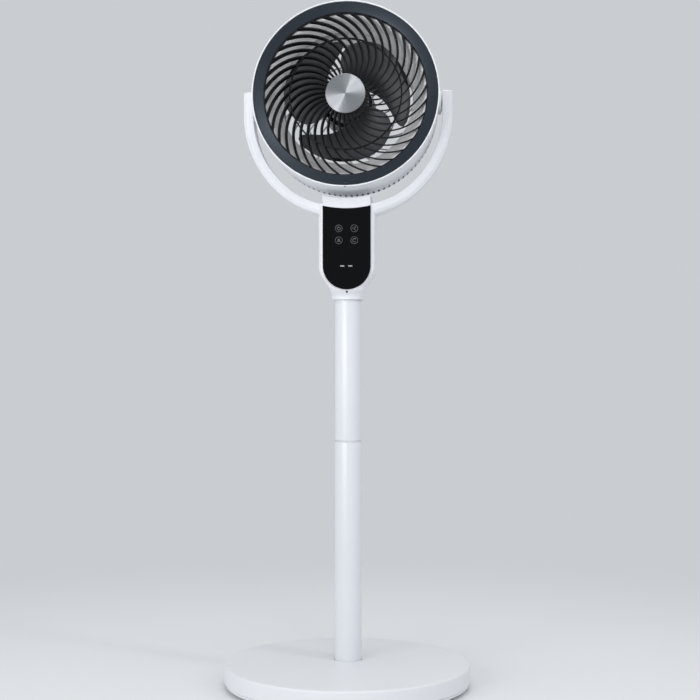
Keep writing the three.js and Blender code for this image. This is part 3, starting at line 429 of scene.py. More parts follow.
# The base: a shell that eases into its top, a tray below and rubber feet.
base = dict(
    radius=170, height=32, wall=3, edgeRadius=3, topFlat=156, lowEdge=9.3, lipFoot=8.6, lipInset=1,
    trayRadius=168, trayLow=4.3, trayHigh=8.3, trayEdge=1.5, footRadius=11, footHeight=4, footCircle=150,
    footCount=5, stemRadius=3, screwCircle=150, screwCount=3, screwSink=2.4, tubeMouth=19.5, mouthFlare=1.2,
    boltRoom=11, steps=192,
)


def makeBaseShell(s):
    top, ceiling, lip = s["height"], s["height"] - s["wall"], s["radius"] - s["wall"] - s["lipInset"]
    shell = turnPiece("baseShell", [
        (0, top, 0), (s["topFlat"], top, 0), (s["radius"], top, s["edgeRadius"]),
        (s["radius"], s["lowEdge"], 0.5), (lip, s["lowEdge"], 0), (lip, s["lipFoot"], 0),
        (lip - 2, s["lipFoot"], 0), (lip - 2, ceiling, 1), (0, ceiling, 0)], 10, s["steps"])
    mouth, flare = s["tubeMouth"], s["tubeMouth"] + s["mouthFlare"]
    return combine(shell, [turnPiece("mouth", [
        (0, 20, 0), (mouth, 20, 0), (mouth, top - 0.8, 0.5), (flare, top + 0.4, 0), (flare, 40, 0),
        (0, 40, 0)], 4, 96, columnAxis)])


def makeBaseTray(s):
    tray = ringPiece("baseTray", 0, s["trayRadius"], s["trayLow"], s["trayHigh"], (0, s["trayEdge"], 0.3, 0),
                     4, s["steps"])
    seat = barPiece("screwSeat", 4.5, 0, s["trayLow"] + s["screwSink"], 32)
    seats = copiesRound(seat, None, s["screwCount"], Matrix(), s["screwCircle"], 90)
    bolt = barPiece("boltRoom", s["boltRoom"], 0, 12, 48, 0, columnAxis)
    return combine(tray, [seats, bolt])


# The tread has a ring groove, so that the foot grips the floor.
def makeFeet(s):
    r, h, stem, tray = s["footRadius"], s["footHeight"], s["stemRadius"], s["trayHigh"]
    foot = turnPiece("feet", [
        (0, 0, 0), (r - 5, 0, 0.3), (r - 4.6, 0.8, 0.2), (r - 3.4, 0.8, 0.2), (r - 3, 0, 0.3), (r, 0, 1.0),
        (r, h, 0.6), (stem, h, 0.2), (stem, tray + 0.3, 0), (stem + 0.9, tray + 0.3, 0.2),
        (stem - 0.6, tray + 2.8, 0.4), (0, tray + 2.8, 0)], 4, 48)
    return copiesRound(foot, mouldedRubber, s["footCount"], Matrix(), s["footCircle"], -90)


finishPiece(makeBaseShell(base), "stand", "white_abs", "base_shell")
finishPiece(makeBaseTray(base), "stand", "white_abs", "base_tray")
finishPiece(makeFeet(base), "stand", "rubber", *numbered("foot", base["footCount"]))
print("base made")

# The column: two tubes, and the coupler inside them that shows as a thin collar.
column = dict(
    lowerRadius=19, upperRadius=18.5, wall=1.5, joint=337, collarHeight=1.2, gap=0.3,
    lowerBottom=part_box("lower_tube")[0][2] / mm, upperTop=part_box("upper_tube")[1][2] / mm,
    couplerLength=80, couplerWall=3, steps=128,
)


def makeCoupler(s, collarHigh):
    half, collarLow, collar = s["couplerLength"] / 2, s["joint"] + s["gap"], s["upperRadius"]
    lower, upper = [radius - s["wall"] - s["gap"] for radius in (s["lowerRadius"], collar)]
    inner = upper - s["couplerWall"]
    return turnPiece("tubeCoupler", [
        (inner, s["joint"] - half, 0.5), (lower, s["joint"] - half, 1), (lower, collarLow, 0),
        (collar, collarLow, 0.2), (collar, collarHigh, 0.2), (upper, collarHigh, 0),
        (upper, s["joint"] + half, 1), (inner, s["joint"] + half, 0.5)], 4, s["steps"], columnAxis)


def makeTube(which, s, radius, low, high):
    tube = ringPiece(which + "Tube", radius - s["wall"], radius, low, high, (0.3, 0.4, 0.4, 0.3), 4,
                     s["steps"], columnAxis)
    finishPiece(tube, "stand", "white_tube", which + "_tube")


collarTop = column["joint"] + column["gap"] + column["collarHeight"]
makeTube("lower", column, column["lowerRadius"], column["lowerBottom"], column["joint"])
makeTube("upper", column, column["upperRadius"], collarTop + column["gap"], column["upperTop"])
finishPiece(makeCoupler(column, collarTop), "stand", "white_abs", "tube_coupler")
print("column made")

# The neck, the U of the yoke that grows out of it, and the touch panel in its front.
neck = dict(
    bottom=535, halfWidth=39, frontDepth=32.5, rearDepth=31, frontCorner=6.4, rearCorner=14, collar=23,
    flareStart=541, flareEnd=578, frontStart=538, frontEnd=550, flareHeight=48, skinHeight=155, wall=2.4,
    saddle=135, saddleWall=3, split=4, gap=0.3, levels=40, cornerSteps=10, screws=[(-30, 620), (30, 620)],
    screwSink=8, armScrewAngle=52, postRadius=5.2, holeRadius=1.9, counterbore=3.6, sensorRadius=1.5,
    socketRadius=5.5, socketHeight=588, slotCount=5, slotLow=612, slotPitch=5, slotHalf=16, slotHeight=2,
)
yoke = dict(
    halfWidth=145, thickness=14, depth=34, drop=16, rise=15, edge=2.5, ease=2.2, arcSteps=120,
    pinRadius=5.25, bevel=4.5, reach=82,
)
panel = dict(
    halfWidth=32.8, bottom=548, topRadius=149, thickness=3, proud=2.5, ease=0.5, tabEase=0.6, backingRim=2,
)
panelFace = -neck["frontDepth"] - panel["proud"]


# The neck's section at a height: a round collar below, a rounded box above.
def neckRing(s, z, inset):
    wide = smoothStep(z, s["flareStart"], s["flareEnd"])
    deep = smoothStep(z, s["frontStart"], s["frontEnd"])
    half = blend(s["collar"], s["halfWidth"], wide) - inset
    front = blend(s["collar"], s["frontDepth"], deep) - inset
    rear = blend(s["collar"], s["rearDepth"], wide) - inset
    frontCorner = min(half, blend(s["collar"], s["frontCorner"], max(wide, deep * 0.4)) - inset)
    rearCorner = min(half, blend(s["collar"], s["rearCorner"], wide) - inset)
    corners = ((1, 1, rear, rearCorner), (-1, 1, rear, rearCorner), (-1, -1, front, frontCorner),
               (1, -1, front, frontCorner))
    ring = []
    for k, (side, end, depth, radius) in enumerate(corners):
        for i in range(s["cornerSteps"] + 1):
            dx, dy = polar(radius, 90 * (k + i / s["cornerSteps"]))
            ring.append((side * (half - radius) + dx, end * (depth - radius) + dy, z))
    return ring


def neckSkin(name, s, low, inset):
    heights = [s["bottom"] + s["flareHeight"] * (i / s["levels"]) for i in range(s["levels"] + 1)]
    heights = [low] + [z for z in heights if z > low + 0.4] + [s["bottom"] + s["skinHeight"]]
    return skinPiece(name, [neckRing(s, z, inset) for z in heights], columnAxis, 50)


# One closed section of the U at a point of its path, across the arm's thickness and its depth. The
# front outer edge is bevelled, and the front comes forward where the arms run into the neck.
def yokeRing(s, inset, spot, outwards, drawIn):
    half = s["thickness"] / 2 - inset - drawIn
    rear = s["depth"] / 2 - inset - drawIn
    share = smoothStep(abs(spot[0]), neck["halfWidth"] - 4, s["reach"])
    front = inset + drawIn - blend(neck["frontDepth"] - neck["gap"], s["depth"] / 2, share)
    edge = max(s["edge"] - inset - drawIn, 0.15)
    bevel = s["bevel"] * (0.5 if inset > 0 else 1)
    corners = [(-half, front, edge * 0.6), (half - bevel, front, edge * 0.5), (half, front + bevel, edge),
               (half, rear, edge), (-half, rear, edge)]
    return [(spot[0] + outwards[0] * a, b, spot[1] + outwards[1] * a) for a, b in rounded(corners, 5)]


# The U, swept down one arm, round the bottom and up the other, with eased arm tops.
def yokeSkin(name, s, inset):
    middle, top = s["halfWidth"] - s["thickness"] / 2, tiltHeight + s["rise"] - inset
    ease = 0.5 if inset > 0 else s["ease"]
    left, right = [
        [yokeRing(s, inset, (side * middle, top - ease + along), (side, 0), ease - width)
         for along, width in [polar(ease, 90 - 15 * k) for k in range(7)]] for side in (-1, 1)]
    arc = []
    for i in range(s["arcSteps"] + 1):
        way = polar(1, 180 + 180 * i / s["arcSteps"])
        spot = (middle * way[0], tiltHeight - s["drop"] + middle * way[1])
        arc.append(yokeRing(s, inset, spot, way, 0))
    return skinPiece(name, left[::-1] + arc + right, columnAxis, 50)


# A round bar from front to back at (x, z), depths from the column axis.
def crossBar(name, radius, x, z, front, back, steps=32):
    return barPiece(name, radius, front, back, steps, 0, columnAxis @ moved(x, 0, z) @ turned(-90, "X"))


# Points on a circle round (x, z), between two angles.
def arcLine(x, z, radius, start, end, steps=24):
    spots = [polar(radius, start + (end - start) * i / steps) for i in range(steps + 1)]
    return [(x + a, z + b) for a, b in spots]


# Part of a circle round the tilt axis, over the neck, from the left unless half is negative.
def topArc(radius, half):
    edge = math.degrees(math.asin(half / radius))
    return arcLine(0, tiltHeight, radius, 270 - edge, 270 + edge, 40)


# The panel's outline, larger all round by grow: a half round below and a hollow top.
def panelOutline(p, grow=0):
    half, centre = p["halfWidth"] + grow, p["bottom"] + p["halfWidth"]
    return arcLine(0, centre, half, 180, 360, 40) + topArc(p["topRadius"] - grow, -half)


# An outline in the XZ plane, drawn in by a small distance all round.
def drawnRing(line, draw, depth):
    area = sum(line[i - 1][0] * line[i][1] - line[i][0] * line[i - 1][1] for i in range(len(line)))
    inwards = -draw if area > 0 else draw
    points = []
    for i, (x, z) in enumerate(line):
        run = (Vector(line[(i + 1) % len(line)]) - Vector(line[i - 1])).normalized()
        points.append((x + run.y * inwards, depth, z - run.x * inwards))
    return points


# An upright plate whose front edge is eased in a quarter round.
def easedPlate(name, line, ease, front, back):
    rings = []
    for k in range(5):
        across, along = polar(ease, 22.5 * k)
        rings.append(drawnRing(line, ease - along, front + ease - across))
    return skinPiece(name, rings + [drawnRing(line, 0, back)], columnAxis, 8)


# The white tab between the panel and the saddle stands out from the neck as far as the panel does.
def makeTab(s, p):
    half = p["halfWidth"]
    line = topArc(p["topRadius"] - s["gap"], half) + topArc(s["saddle"] + 0.01, -half)
    return easedPlate("tab", line, p["tabEase"], panelFace, -s["frontDepth"] + 1)


# Each housing screw: across, up and the depth of the rear face that it enters.
def screwSpots(s, y):
    spots = [(x, z, s["rearDepth"]) for x, z in s["screws"]]
    for side in (-1, 1):
        x, z = polar(y["halfWidth"] - y["thickness"] / 2, 270 + side * s["armScrewAngle"])
        spots.append((x, tiltHeight - y["drop"] + z, y["depth"] / 2))
    return spots


# The saddle that the drum sits in. Beside the tab the neck ends level with the inner face of the arms.
def saddleCuts(s, y, p, grow, deeper):
    inside = y["halfWidth"] - y["thickness"] - 0.1 + grow
    shoulders = crossBar("shoulders", inside, 0, tiltHeight - y["drop"], -90, 90, 256)
    half = p["halfWidth"] + s["gap"] - grow
    combine(shoulders, [boxPiece("middle", (-half, -100, 500), (half, 100, 950), columnAxis)])
    return [crossBar("saddle", s["saddle"] + deeper, 0, tiltHeight, -90, 90, 256), shoulders]


def makeHousing(s, y, p):
    wall, split = s["wall"], s["split"]
    outside = neckSkin("outside", s, s["bottom"], 0)
    combine(outside, saddleCuts(s, y, p, 0, 0))
    combine(outside, [yokeSkin("yoke", y, 0)], "UNION")
    hollow = neckSkin("hollow", s, s["bottom"] - 5, wall)
    combine(hollow, saddleCuts(s, y, p, wall, s["saddleWall"]))
    armHollow = yokeSkin("armHollow", y, wall)
    pinEnd = y["halfWidth"] - 8
    pins = barPiece("pins", y["pinRadius"], -pinEnd, pinEnd, 48, 0,
                    columnAxis @ moved(0, 0, tiltHeight) @ turned(90, "Y"))
    combine(outside, [hollow, armHollow, pins])
    front, rear = outside, addObject(outside.name, outside.data.copy())
    combine(front, [boxPiece("rearHalf", (-200, split - s["gap"], 500), (200, 60, 900), columnAxis)])
    combine(rear, [boxPiece("frontHalf", (-200, -60, 500), (200, split, 900), columnAxis)])
    seatDepth = panelFace + p["thickness"] + s["gap"]
    outline = panelOutline(p, p["backingRim"])
    combine(front, [uprightPrism("backing", outline, -s["frontDepth"] + 0.5, seatDepth + wall)], "UNION")
    combine(front, [makeTab(s, p)], "UNION")
    combine(front, [uprightPrism("seat", panelOutline(p, s["gap"]), -60, seatDepth),
                    crossBar("sensor", s["sensorRadius"], 0, p["bottom"] - 3, -60, -16)])
    tools = []
    for x, z, face in screwSpots(s, y):
        combine(rear, [crossBar("post", s["postRadius"], x, z, split, face - 1.2)], "UNION")
        tools += [crossBar("hole", s["holeRadius"], x, z, 0, 60),
                  crossBar("counterbore", s["counterbore"], x, z, face - s["screwSink"], 60)]
    tools.append(crossBar("socket", s["socketRadius"] + s["gap"], 0, s["socketHeight"], 10, 60, 48))
    half = s["slotHalf"]
    for i in range(s["slotCount"]):
        low = s["slotLow"] + s["slotPitch"] * i
        high = low + s["slotHeight"]
        outline = [(-half, low, 0.95), (half, low, 0.95), (half, high, 0.95), (-half, high, 0.95)]
        tools.append(uprightPrism("slot", rounded(outline, 5), 20, 60))
    combine(rear, tools)
    return front, rear


frontHousing, rearHousing = makeHousing(neck, yoke, panel)
finishPiece(frontHousing, "neck", "white_abs", "front_housing")
finishPiece(rearHousing, "neck", "white_abs", "rear_housing")
print("neck made")

# What is printed on the touch panel: columns, rows and dashes are across and up from the floor.
panelPrint = dict(
    iconRadius=4.8, line=0.42, columns=(-10.7, 10.7), rows=(631.5, 615.2), raised=0.05, lift=0.02,
    dashes=(-5.8, 5.2), dashHeight=580, dashSize=(5.4, 1.7),
)


# A thin printed stroke along a line of (across, up) points, closed for a ring or open with square ends.
def stroke(line, width, closed=False):
    front, count = panelFace + panelPrint["lift"], len(line)
    back = front - panelPrint["raised"]
    points, faces = [], []
    around = line[-1:] + line + line[:1] if closed else line[:1] + line + line[-1:]
    for i, (x, z) in enumerate(line):
        run = (Vector(around[i + 2]) - Vector(around[i])).normalized() * width / 2
        for side, depth in ((1, front), (-1, front), (-1, back), (1, back)):
            points.append((x - run.y * side, depth, z + run.x * side))
    for i in range(count if closed else count - 1):
        a, b = 4 * i, 4 * ((i + 1) % count)
        faces += [(a + k, a + (k + 1) % 4, b + (k + 1) % 4, b + k) for k in range(4)]
    if not closed:
        faces += [(3, 2, 1, 0), tuple(range(4 * count - 4, 4 * count))]
    return makePiece("stroke", points, faces, columnAxis)


# Four touch keys: on and off, speed, mode and swing, each in a fine ring.
def makePanelIcons(s):
    line = s["line"]
    (left, right), (high, low) = s["columns"], s["rows"]
    rings = [arcLine(x, z, s["iconRadius"], 0, 360, 48)[:-1] for x in (left, right) for z in (high, low)]
    lines = [arcLine(left, high, 2.2, 125, 415), [(left, high + 0.4), (left, high + 3)]]
    for turn in (90, 210, 330):
        x, z = polar(1.5, turn)
        lines.append(arcLine(right + x, high + z, 1.5, turn - 180, turn - 40, 14))
    for rise, reach in ((-1.5, 2.4), (0, 1.7), (1.5, 1.0)):
        lines.append([(left + reach * (i / 10 - 1), low + rise + 0.35 * math.sin(math.pi * i / 5))
                      for i in range(21)])
    lines.append(arcLine(right, low, 2.3, 40, 320))
    x, z = polar(2.3, 40)
    tip, level = right + x, low + z
    lines.append([(tip - 1.3, level), (tip, level), (tip, level + 1.3)])
    parts = [stroke(ring, line * 0.7, True) for ring in rings] + [stroke(spots, line) for spots in lines]
    return gather(parts[0], parts[1:], "panelIcons")


def makeDashes(s):
    wide, tall = s["dashSize"]
    parts = [stroke([(x - wide / 2, s["dashHeight"]), (x + wide / 2, s["dashHeight"])], tall)
             for x in s["dashes"]]
    return gather(parts[0], parts[1:], "displayBars")


# Screen-printed legends under no light: dim warm grey against the black.
screenPrintGrey = surfaceMaterial(
    "screen-printed legend, grey", ("#77797c", "#828487"), drift=6, roughness=(0.3, 0.4),
    grain=(0.6, 0.01, 0.2), shader={"IOR": 1.5})
# Two bars of the display, dimly lit from behind: cool white.
litDisplayBars = surfaceMaterial(
    "lit display bar", ("#8d9196", "#9b9fa3"), drift=4, roughness=(0.2, 0.3), grain=(1.5, 0.01, 0.1),
    shader={"Emission Color": hexColour("#dfe8f0"), "Emission Strength": 0.1})
touchPanel = easedPlate("touchPanel", panelOutline(panel), panel["ease"], panelFace,
                        panelFace + panel["thickness"])
finishPiece(touchPanel, "neck", "black_glass", "touch_panel")
finishPiece(makePanelIcons(panelPrint), "neck", "black_glass", look=screenPrintGrey)
finishPiece(makeDashes(panelPrint), "neck", "black_glass", look=litDisplayBars)
print("panel made")

# The drum and the bezel. Depths run along the fan axis from the tilt axis, front positive.
drum = dict(
    front=62, rear=-42, frontRadius=127.5, rearRadius=124.5, wall=2.5, corner=20, lip=1.9, lipRound=0.8,
    shelf=57.7, shelfWidth=2.4, opening=99, bossRadius=16, bossStart=116, bossEnd=129.2, pinRadius=5.15,
    steps=256, screwDepth=59.3, screwHole=1.4, screwSeat=2.85, seatDepth=1.2, rearScrewCircle=103.4,
    rearBoss=3.6, rearHole=1.5, ventCount=100, ventWidth=3, ventFront=-15, ventTurn=60, ventReach=4,
)
bezel = dict(inner=111, outer=125.3, seat=58, top=61.2, dish=3, pilot=1.2, steps=256)

# Down from the fan axis to the screw that holds the bezel.
bezelScrewAxis = headAxis @ moved(0, 0, drum["screwDepth"]) @ turned(90, "X")


def makeDrum(s):
    front, rear, wall, shelf = s["front"], s["rear"], s["wall"], s["shelf"]
    edge, opening, rearInner = s["frontRadius"], s["opening"], s["rear"] + s["wall"]
    lipInner = edge - s["lip"]
    shell = turnPiece("drumShell", [
        (opening, rear, 0.4), (s["rearRadius"], rear, s["corner"]), (edge, front, s["lipRound"]),
        (lipInner, front, s["lipRound"]), (lipInner, shelf, 0.1), (lipInner - s["shelfWidth"], shelf, 0.3),
        (s["rearRadius"] - wall, rearInner, s["corner"] - wall), (opening, rearInner, 0.4)],
        12, s["steps"], headAxis, 40)
    across = headAxis @ turned(90, "Y")
    bosses = [barPiece("boss", s["bossRadius"], s["bossStart"], s["bossEnd"], 96, 0.8,
                       across @ turned(turn, "Y")) for turn in (0, 180)]

    def rearBars(name, radius, low, high, steps):
        bar = barPiece(name, radius, low, high, steps)
        return copiesRound(bar, None, 3, headAxis, s["rearScrewCircle"], 30)

    combine(shell, bosses + [rearBars("rearBoss", s["rearBoss"], rear + 1, rear + 8, 32)], "UNION", 40)
    return combine(shell, [
        barPiece("bores", s["pinRadius"], -200, 200, 48, 0, across),
        barPiece("screwHole", s["screwHole"], edge - 8, edge + 5, 32, 0, bezelScrewAxis),
        barPiece("screwSeat", s["screwSeat"], edge - s["seatDepth"], edge + 5, 32, 0, bezelScrewAxis),
        rearBars("rearHole", s["rearHole"], rear - 1, rear + 9, 24), makeVents(s)], "DIFFERENCE", 40)


# Cutters for the row of air vents: slots that start on the side wall and run over the rear corner.
def makeVents(s):
    middle, wide, reach = s["corner"] - s["wall"] / 2, s["ventWidth"] / 2, s["ventReach"]
    path = [Vector((s["rearRadius"] - s["wall"] / 2, s["ventFront"]))]
    for turn in range(0, s["ventTurn"] + 1, 5):
        across, along = polar(middle, -turn)
        path.append(Vector((s["rearRadius"] - s["corner"] + across, s["rear"] + s["corner"] + along)))
    around = path[:1] + path + path[-1:]
    rings = []
    for i, here in enumerate(path):
        run = (around[i + 2] - around[i]).normalized()
        half = wide if 0 < i < len(path) - 1 else wide * 0.55
        corners = ((-half, -reach), (half, -reach), (half, reach), (-half, reach))
        rings.append([(here.x - run.y * depth, side, here.y + run.x * depth) for side, depth in corners])
    count = s["ventCount"]
    return copiesRound(skinPiece("vent", rings), None, count, headAxis, 0, 270 + 180 / count)


# The face falls towards the grille, with eased edges that carry a thin highlight.
def makeBezel(s):
    inner, outer, top, seat, dish = s["inner"], s["outer"], s["top"], s["seat"], s["dish"]
    ring = turnPiece("bezelRing", [
        (outer, seat, 0.2), (outer, top, 0.9), (inner, top - dish, 1.4), (inner, seat - dish, 0.3),
        (inner + 4, seat, 0.5)], 10, s["steps"], headAxis)
    return combine(ring, [barPiece("pilot", s["pilot"], outer - 6, outer + 1, 24, 0, bezelScrewAxis)])


finishPiece(makeDrum(drum), "head", "white_abs", "drum_shell")
finishPiece(makeBezel(bezel), "head", "dark_satin", "bezel_ring")
print("drum made")

# The front grille: swept ribs from the seat of the hub cap to the rim, through a tie ring.
grille = dict(
    ribCount=36, ribThickness=2.1, back=51.9, front=58.4, sweep=51.5, phase=4.1, lean=1.6, capRadius=27,
    inner=111, rim=118, rimTop=54.7, steps=26, tieRadius=76, tieHalf=1.0, tieLow=53.4, tieTop=57.8, bore=3.3,
)


# Angle that a rib has turned through at radius r on its way out.
def ribTurn(s, r):
    return s["sweep"] * max((r - s["capRadius"]) / (s["inner"] - s["capRadius"]), 0) ** 1.5


# One rib: thin sections, leaning like a guide vane, from the cap to the rim.
def makeRib(s, inner, outer, back, front, lean):
    rings = []
    for i in range(s["steps"] + 1):
        r = blend(inner, outer, i / s["steps"])
        slope = math.atan(r * math.radians(ribTurn(s, r + 0.5) - ribTurn(s, r - 0.5)))
        half = s["ribThickness"] / 2 / math.cos(slope)
        section = [(-half, back, 0.3), (half, back, 0.3), (half, front, 0.55), (-half, front, 0.55)]
        ring = []
        for across, height in rounded(section, 3):
            ahead = lean * (front - height) / (front - back)
            turn = ribTurn(s, r) + s["phase"] + ahead + math.degrees(across / r)
            ring.append((*polar(r, turn), height))
        rings.append(ring)
    return skinPiece("rib", rings)


def makeFrontGrille(s):
    back, front, inner, cap, bore = s["back"], s["front"], s["inner"], s["capRadius"], s["bore"]
    rib = makeRib(s, cap - 2, inner + 1.5, back, front - 0.2, s["lean"])
    ribs = copiesRound(rib, mouldedAbsBlack, s["ribCount"], headAxis)
    ledge, wall, top, seatTop = inner - 0.4, inner - 0.9, front - 0.6, front - 1.5
    rim = turnPiece("rim", [
        (wall, back, 0.3), (s["rim"], back, 0.4), (s["rim"], s["rimTop"], 0.4), (ledge, s["rimTop"], 0.2),
        (ledge, top, 0.3), (wall, top, 0.2)], 4, 256, headAxis)
    tie = ringPiece("tie", s["tieRadius"] - s["tieHalf"], s["tieRadius"] + s["tieHalf"], s["tieLow"],
                    s["tieTop"], (0.5, 0.5, 0.6, 0.6), 4, 192, headAxis)
    seat = turnPiece("seat", [
        (bore, back, 0.2), (cap - 1, back, 1), (cap + 0.5, seatTop, 0.6), (bore, seatTop, 0.2)],
        4, 96, headAxis)
    return gather(ribs, [rim, tie, seat])


finishPiece(makeFrontGrille(grille), "head", "dark_satin", "front_grille", look=mouldedAbsBlack)

# The cap in the middle of the front grille, with a stem that clips into the seat.
hubCap = dict(radius=27, low=57.2, top=60.4, edge=0.9, sag=0.4, stem=3, stemLow=51.2, steps=192)


# The turned face needs to know which way the tool ran, so the cap carries a map: u round it, v outwards.
def makeHubCap(s):
    radius, low, top, stem = s["radius"], s["low"], s["top"], s["stem"]
    hollow = top - s["sag"]
    cap = turnPiece("hubCap", [
        (0, s["stemLow"], 0), (stem, s["stemLow"], 0.4), (stem, low, 0.3), (radius, low, 0.2),
        (radius, top, s["edge"]), (radius - 3, top, 0.4), (radius - 12, top - 0.1, 0), (0.4, hollow, 0),
        (0, hollow, 0)], 8, s["steps"])
    mesh = cap.data
    turnedMap = mesh.uv_layers.new(name="turned")
    for face in mesh.polygons:
        middle = math.atan2(face.center.y, face.center.x)
        for loop in face.loop_indices:
            spot = mesh.vertices[mesh.loops[loop].vertex_index].co
            reach = math.hypot(spot.x, spot.y)
            angle = math.atan2(spot.y, spot.x) if reach > tiny else middle
            angle -= math.tau * round((angle - middle) / math.tau)
            turnedMap.data[loop].uv = (angle / math.tau + 0.5, reach / (radius * mm))
    return setDown(cap, headAxis)


# Aluminium faced on a lathe: the ring-shaped tool marks stretch every highlight into a radial wedge.
# The real marks are 0.05 mm apart; they are drawn at 0.5 mm.
def makeTurnedAluminium(pitch):
    material = surfaceMaterial(
        "lathe-turned aluminium", ("#a0a3a7", "#a8abae"), drift=20, roughness=(0.32, 0.37),
        grain=(0.8, 0.005, 0.05), shader={"Metallic": 1.0, "Anisotropic": 1.0, "Anisotropic Rotation": 0.25})
    tree = material.node_tree
    tangent = addNode(tree, "ShaderNodeTangent", {"direction_type": "UV_MAP", "uv_map": "turned"})
    spot = addNode(tree, "ShaderNodeUVMap", {"uv_map": "turned"})
    reach = addNode(tree, "ShaderNodeSeparateXYZ", {0: spot})
    rings = addNode(tree, "ShaderNodeTexNoise", {
        "noise_dimensions": "1D", "Scale": hubCap["radius"] / pitch, "Detail": 2.0, "W": reach.outputs["Y"]})
    grooves = addNode(tree, "ShaderNodeBump", {"Strength": 0.12, "Distance": 0.01 * mm, "Height": rings})
    setNode(tree, tree.nodes["Principled BSDF"], {"Tangent": tangent, "Normal": grooves})
    return material


finishPiece(makeHubCap(hubCap), "head", "spun_aluminium", "hub_cap", look=makeTurnedAluminium(0.5))
print("grille made")

# The air duct round the blades, and the rear grille that carries the motor.
duct = dict(
    flange=118, flangeDepth=2, front=51.6, mouth=108, throat=91, throatFront=31.6, wall=2, throatRear=2,
    flare=6, rear=-39.7, steps=192,
)
rearGrille = dict(
    ribCount=18, ribThickness=2, sweep=51.5, phase=10.0, capRadius=27, inner=111, steps=14, front=-42.3,
    back=-45.3, plate=37, middle=64.5, outerSlot=92, rim=107, plug=98.7, plugWidth=2.7, plugDepth=2.3,
    mount=33.4, screwCircle=103.4, motorScrewCircle=29,
)


# The mouth narrows in a soft curve to the throat that the blades run in, then opens to the rear.
def makeDuct(s):
    wall, throat, front, rear, narrow = s["wall"], s["throat"], s["front"], s["rear"], s["throatFront"]
    foot, tail = front - s["flangeDepth"], throat + s["flare"]
    return turnPiece("airDuct", [
        (s["flange"], front, 0.3), (s["flange"], foot, 0.3), (s["mouth"] + wall, foot, 1),
        (throat + wall, narrow, 5), (throat + wall, s["throatRear"], 6), (tail, rear, 0.3),
        (tail - wall, rear, 0.3), (throat, s["throatRear"], 7), (throat, narrow, 6),
        (s["mouth"], front, 1.5)], 8, s["steps"], headAxis, 40)


def makeRearGrille(s):
    front, back, middle, slot, plug = s["front"], s["back"], s["middle"], s["outerSlot"], s["plug"]
    ribs = [copiesRound(makeRib(s, low, high, back, front, 0), mouldedAbsWhite, s["ribCount"], headAxis)
            for low, high in ((s["plate"] - 1, middle), (middle, slot + 1))]
    plate, tie, rim = [
        ringPiece("ring", low, high, back, front, (ease if low else 0, ease, 0.3, 0.3 if low else 0), 5, 192,
                  headAxis)
        for low, high, ease in ((0, s["plate"], 1), (middle - 1, middle + 1, 0.5), (slot, s["rim"], 0.8))]
    plugRing = ringPiece("plug", plug - s["plugWidth"], plug, front - 1, front + s["plugDepth"],
                         (0, 0, 0.6, 0.6), 4, 192, headAxis)
    whole = barPiece("mount", s["mount"], front - 1, front + 2, 96, 0, headAxis)
    gather(whole, [plugRing])
    motorHoles = barPiece("motorHole", 1.8, back - 2, 0, 24)
    gather(motorHoles, [barPiece("seat", 3.3, back - 2, back + 1.2, 32)])
    rimHoles = barPiece("rimHole", 1.9, back - 2, front + 1, 24)
    combine(plate, [copiesRound(motorHoles, None, 3, headAxis, s["motorScrewCircle"], 30)])
    combine(rim, [copiesRound(rimHoles, None, 3, headAxis, s["screwCircle"], 30)])
    return gather(whole, ribs + [plate, tie, rim], "rearGrille")


# The duct takes the lightened white, painted light inside the duct.
finishPiece(makeDuct(duct), "head", "white_abs", "air_duct", look=ductWhitePaintedLight)
finishPiece(makeRearGrille(rearGrille), "head", "white_abs", "rear_grille")

# The impeller: swept blades on a hub that is open to the rear.
impeller = dict(
    blades=3, hub=30, front=38, rear=8, tip=87, tipCorner=4, tipStart=0.96, thickness=2, camber=4, bore=4.05,
    sections=28, steps=24, edges=((31, -84, 30), (100, 0, -40)),
)


# A swept blade: thin cambered sections from the hub to the tip, with rounded edges and tip corners. The
# leading and trailing edges each have a first angle, a sweep and a curl towards the tip, in degrees.
def makeBlade(s):
    rings = []
    for j in range(s["sections"] + 1):
        u = j / s["sections"]
        r = blend(s["hub"] - 1.5, s["tip"], u)
        ease = max(0, (u - s["tipStart"]) / (1 - s["tipStart"]))
        shrink = s["tipCorner"] * (1 - math.sqrt(max(0, 1 - ease ** 2)))
        leading, trailing = [start + sweep * u + curl * u ** 4 for start, sweep, curl in s["edges"]]
        ring = []
        for side in (-1, 1):
            for i in range(s["steps"] + 1)[::-side]:
                t = (1 - math.cos(math.pi * i / s["steps"])) / 2
                thin = 0.06 + 0.94 * min(1, math.sin(math.pi * t) * 1.4) ** 0.6
                rise = blend(s["rear"] + 1, s["front"] - 4, t) + s["camber"] * u * math.sin(math.pi * t)
                rise += side * s["thickness"] * thin / 2 * (1.15 - 0.3 * u)
                ring.append((*polar(r, blend(leading + shrink, trailing - shrink, t)), rise))
        rings.append(ring)
    return skinPiece("blade", rings, None, 50)


def makeImpeller(s):
    blades = copiesRound(makeBlade(s), filledNylonGrey, s["blades"], headAxis)
    hub, front, rear, bore = s["hub"], s["front"], s["rear"], s["bore"]
    hubShell = turnPiece("hub", [
        (hub - 2.6, rear, 0.3), (hub - 0.5, rear, 0.5), (hub, front - 5, 0), (hub - 1, front - 1, 3),
        (10, front, 1), (bore, front, 0.2), (bore, rear + 6, 0), (8, rear + 6, 0.3), (8, front - 3.5, 0.5),
        (hub - 5, front - 4, 1)], 6, 160, headAxis)
    return gather(blades, [hubShell])


finishPiece(makeImpeller(impeller), "rotor", "grey_blade", "impeller")
print("inside made")

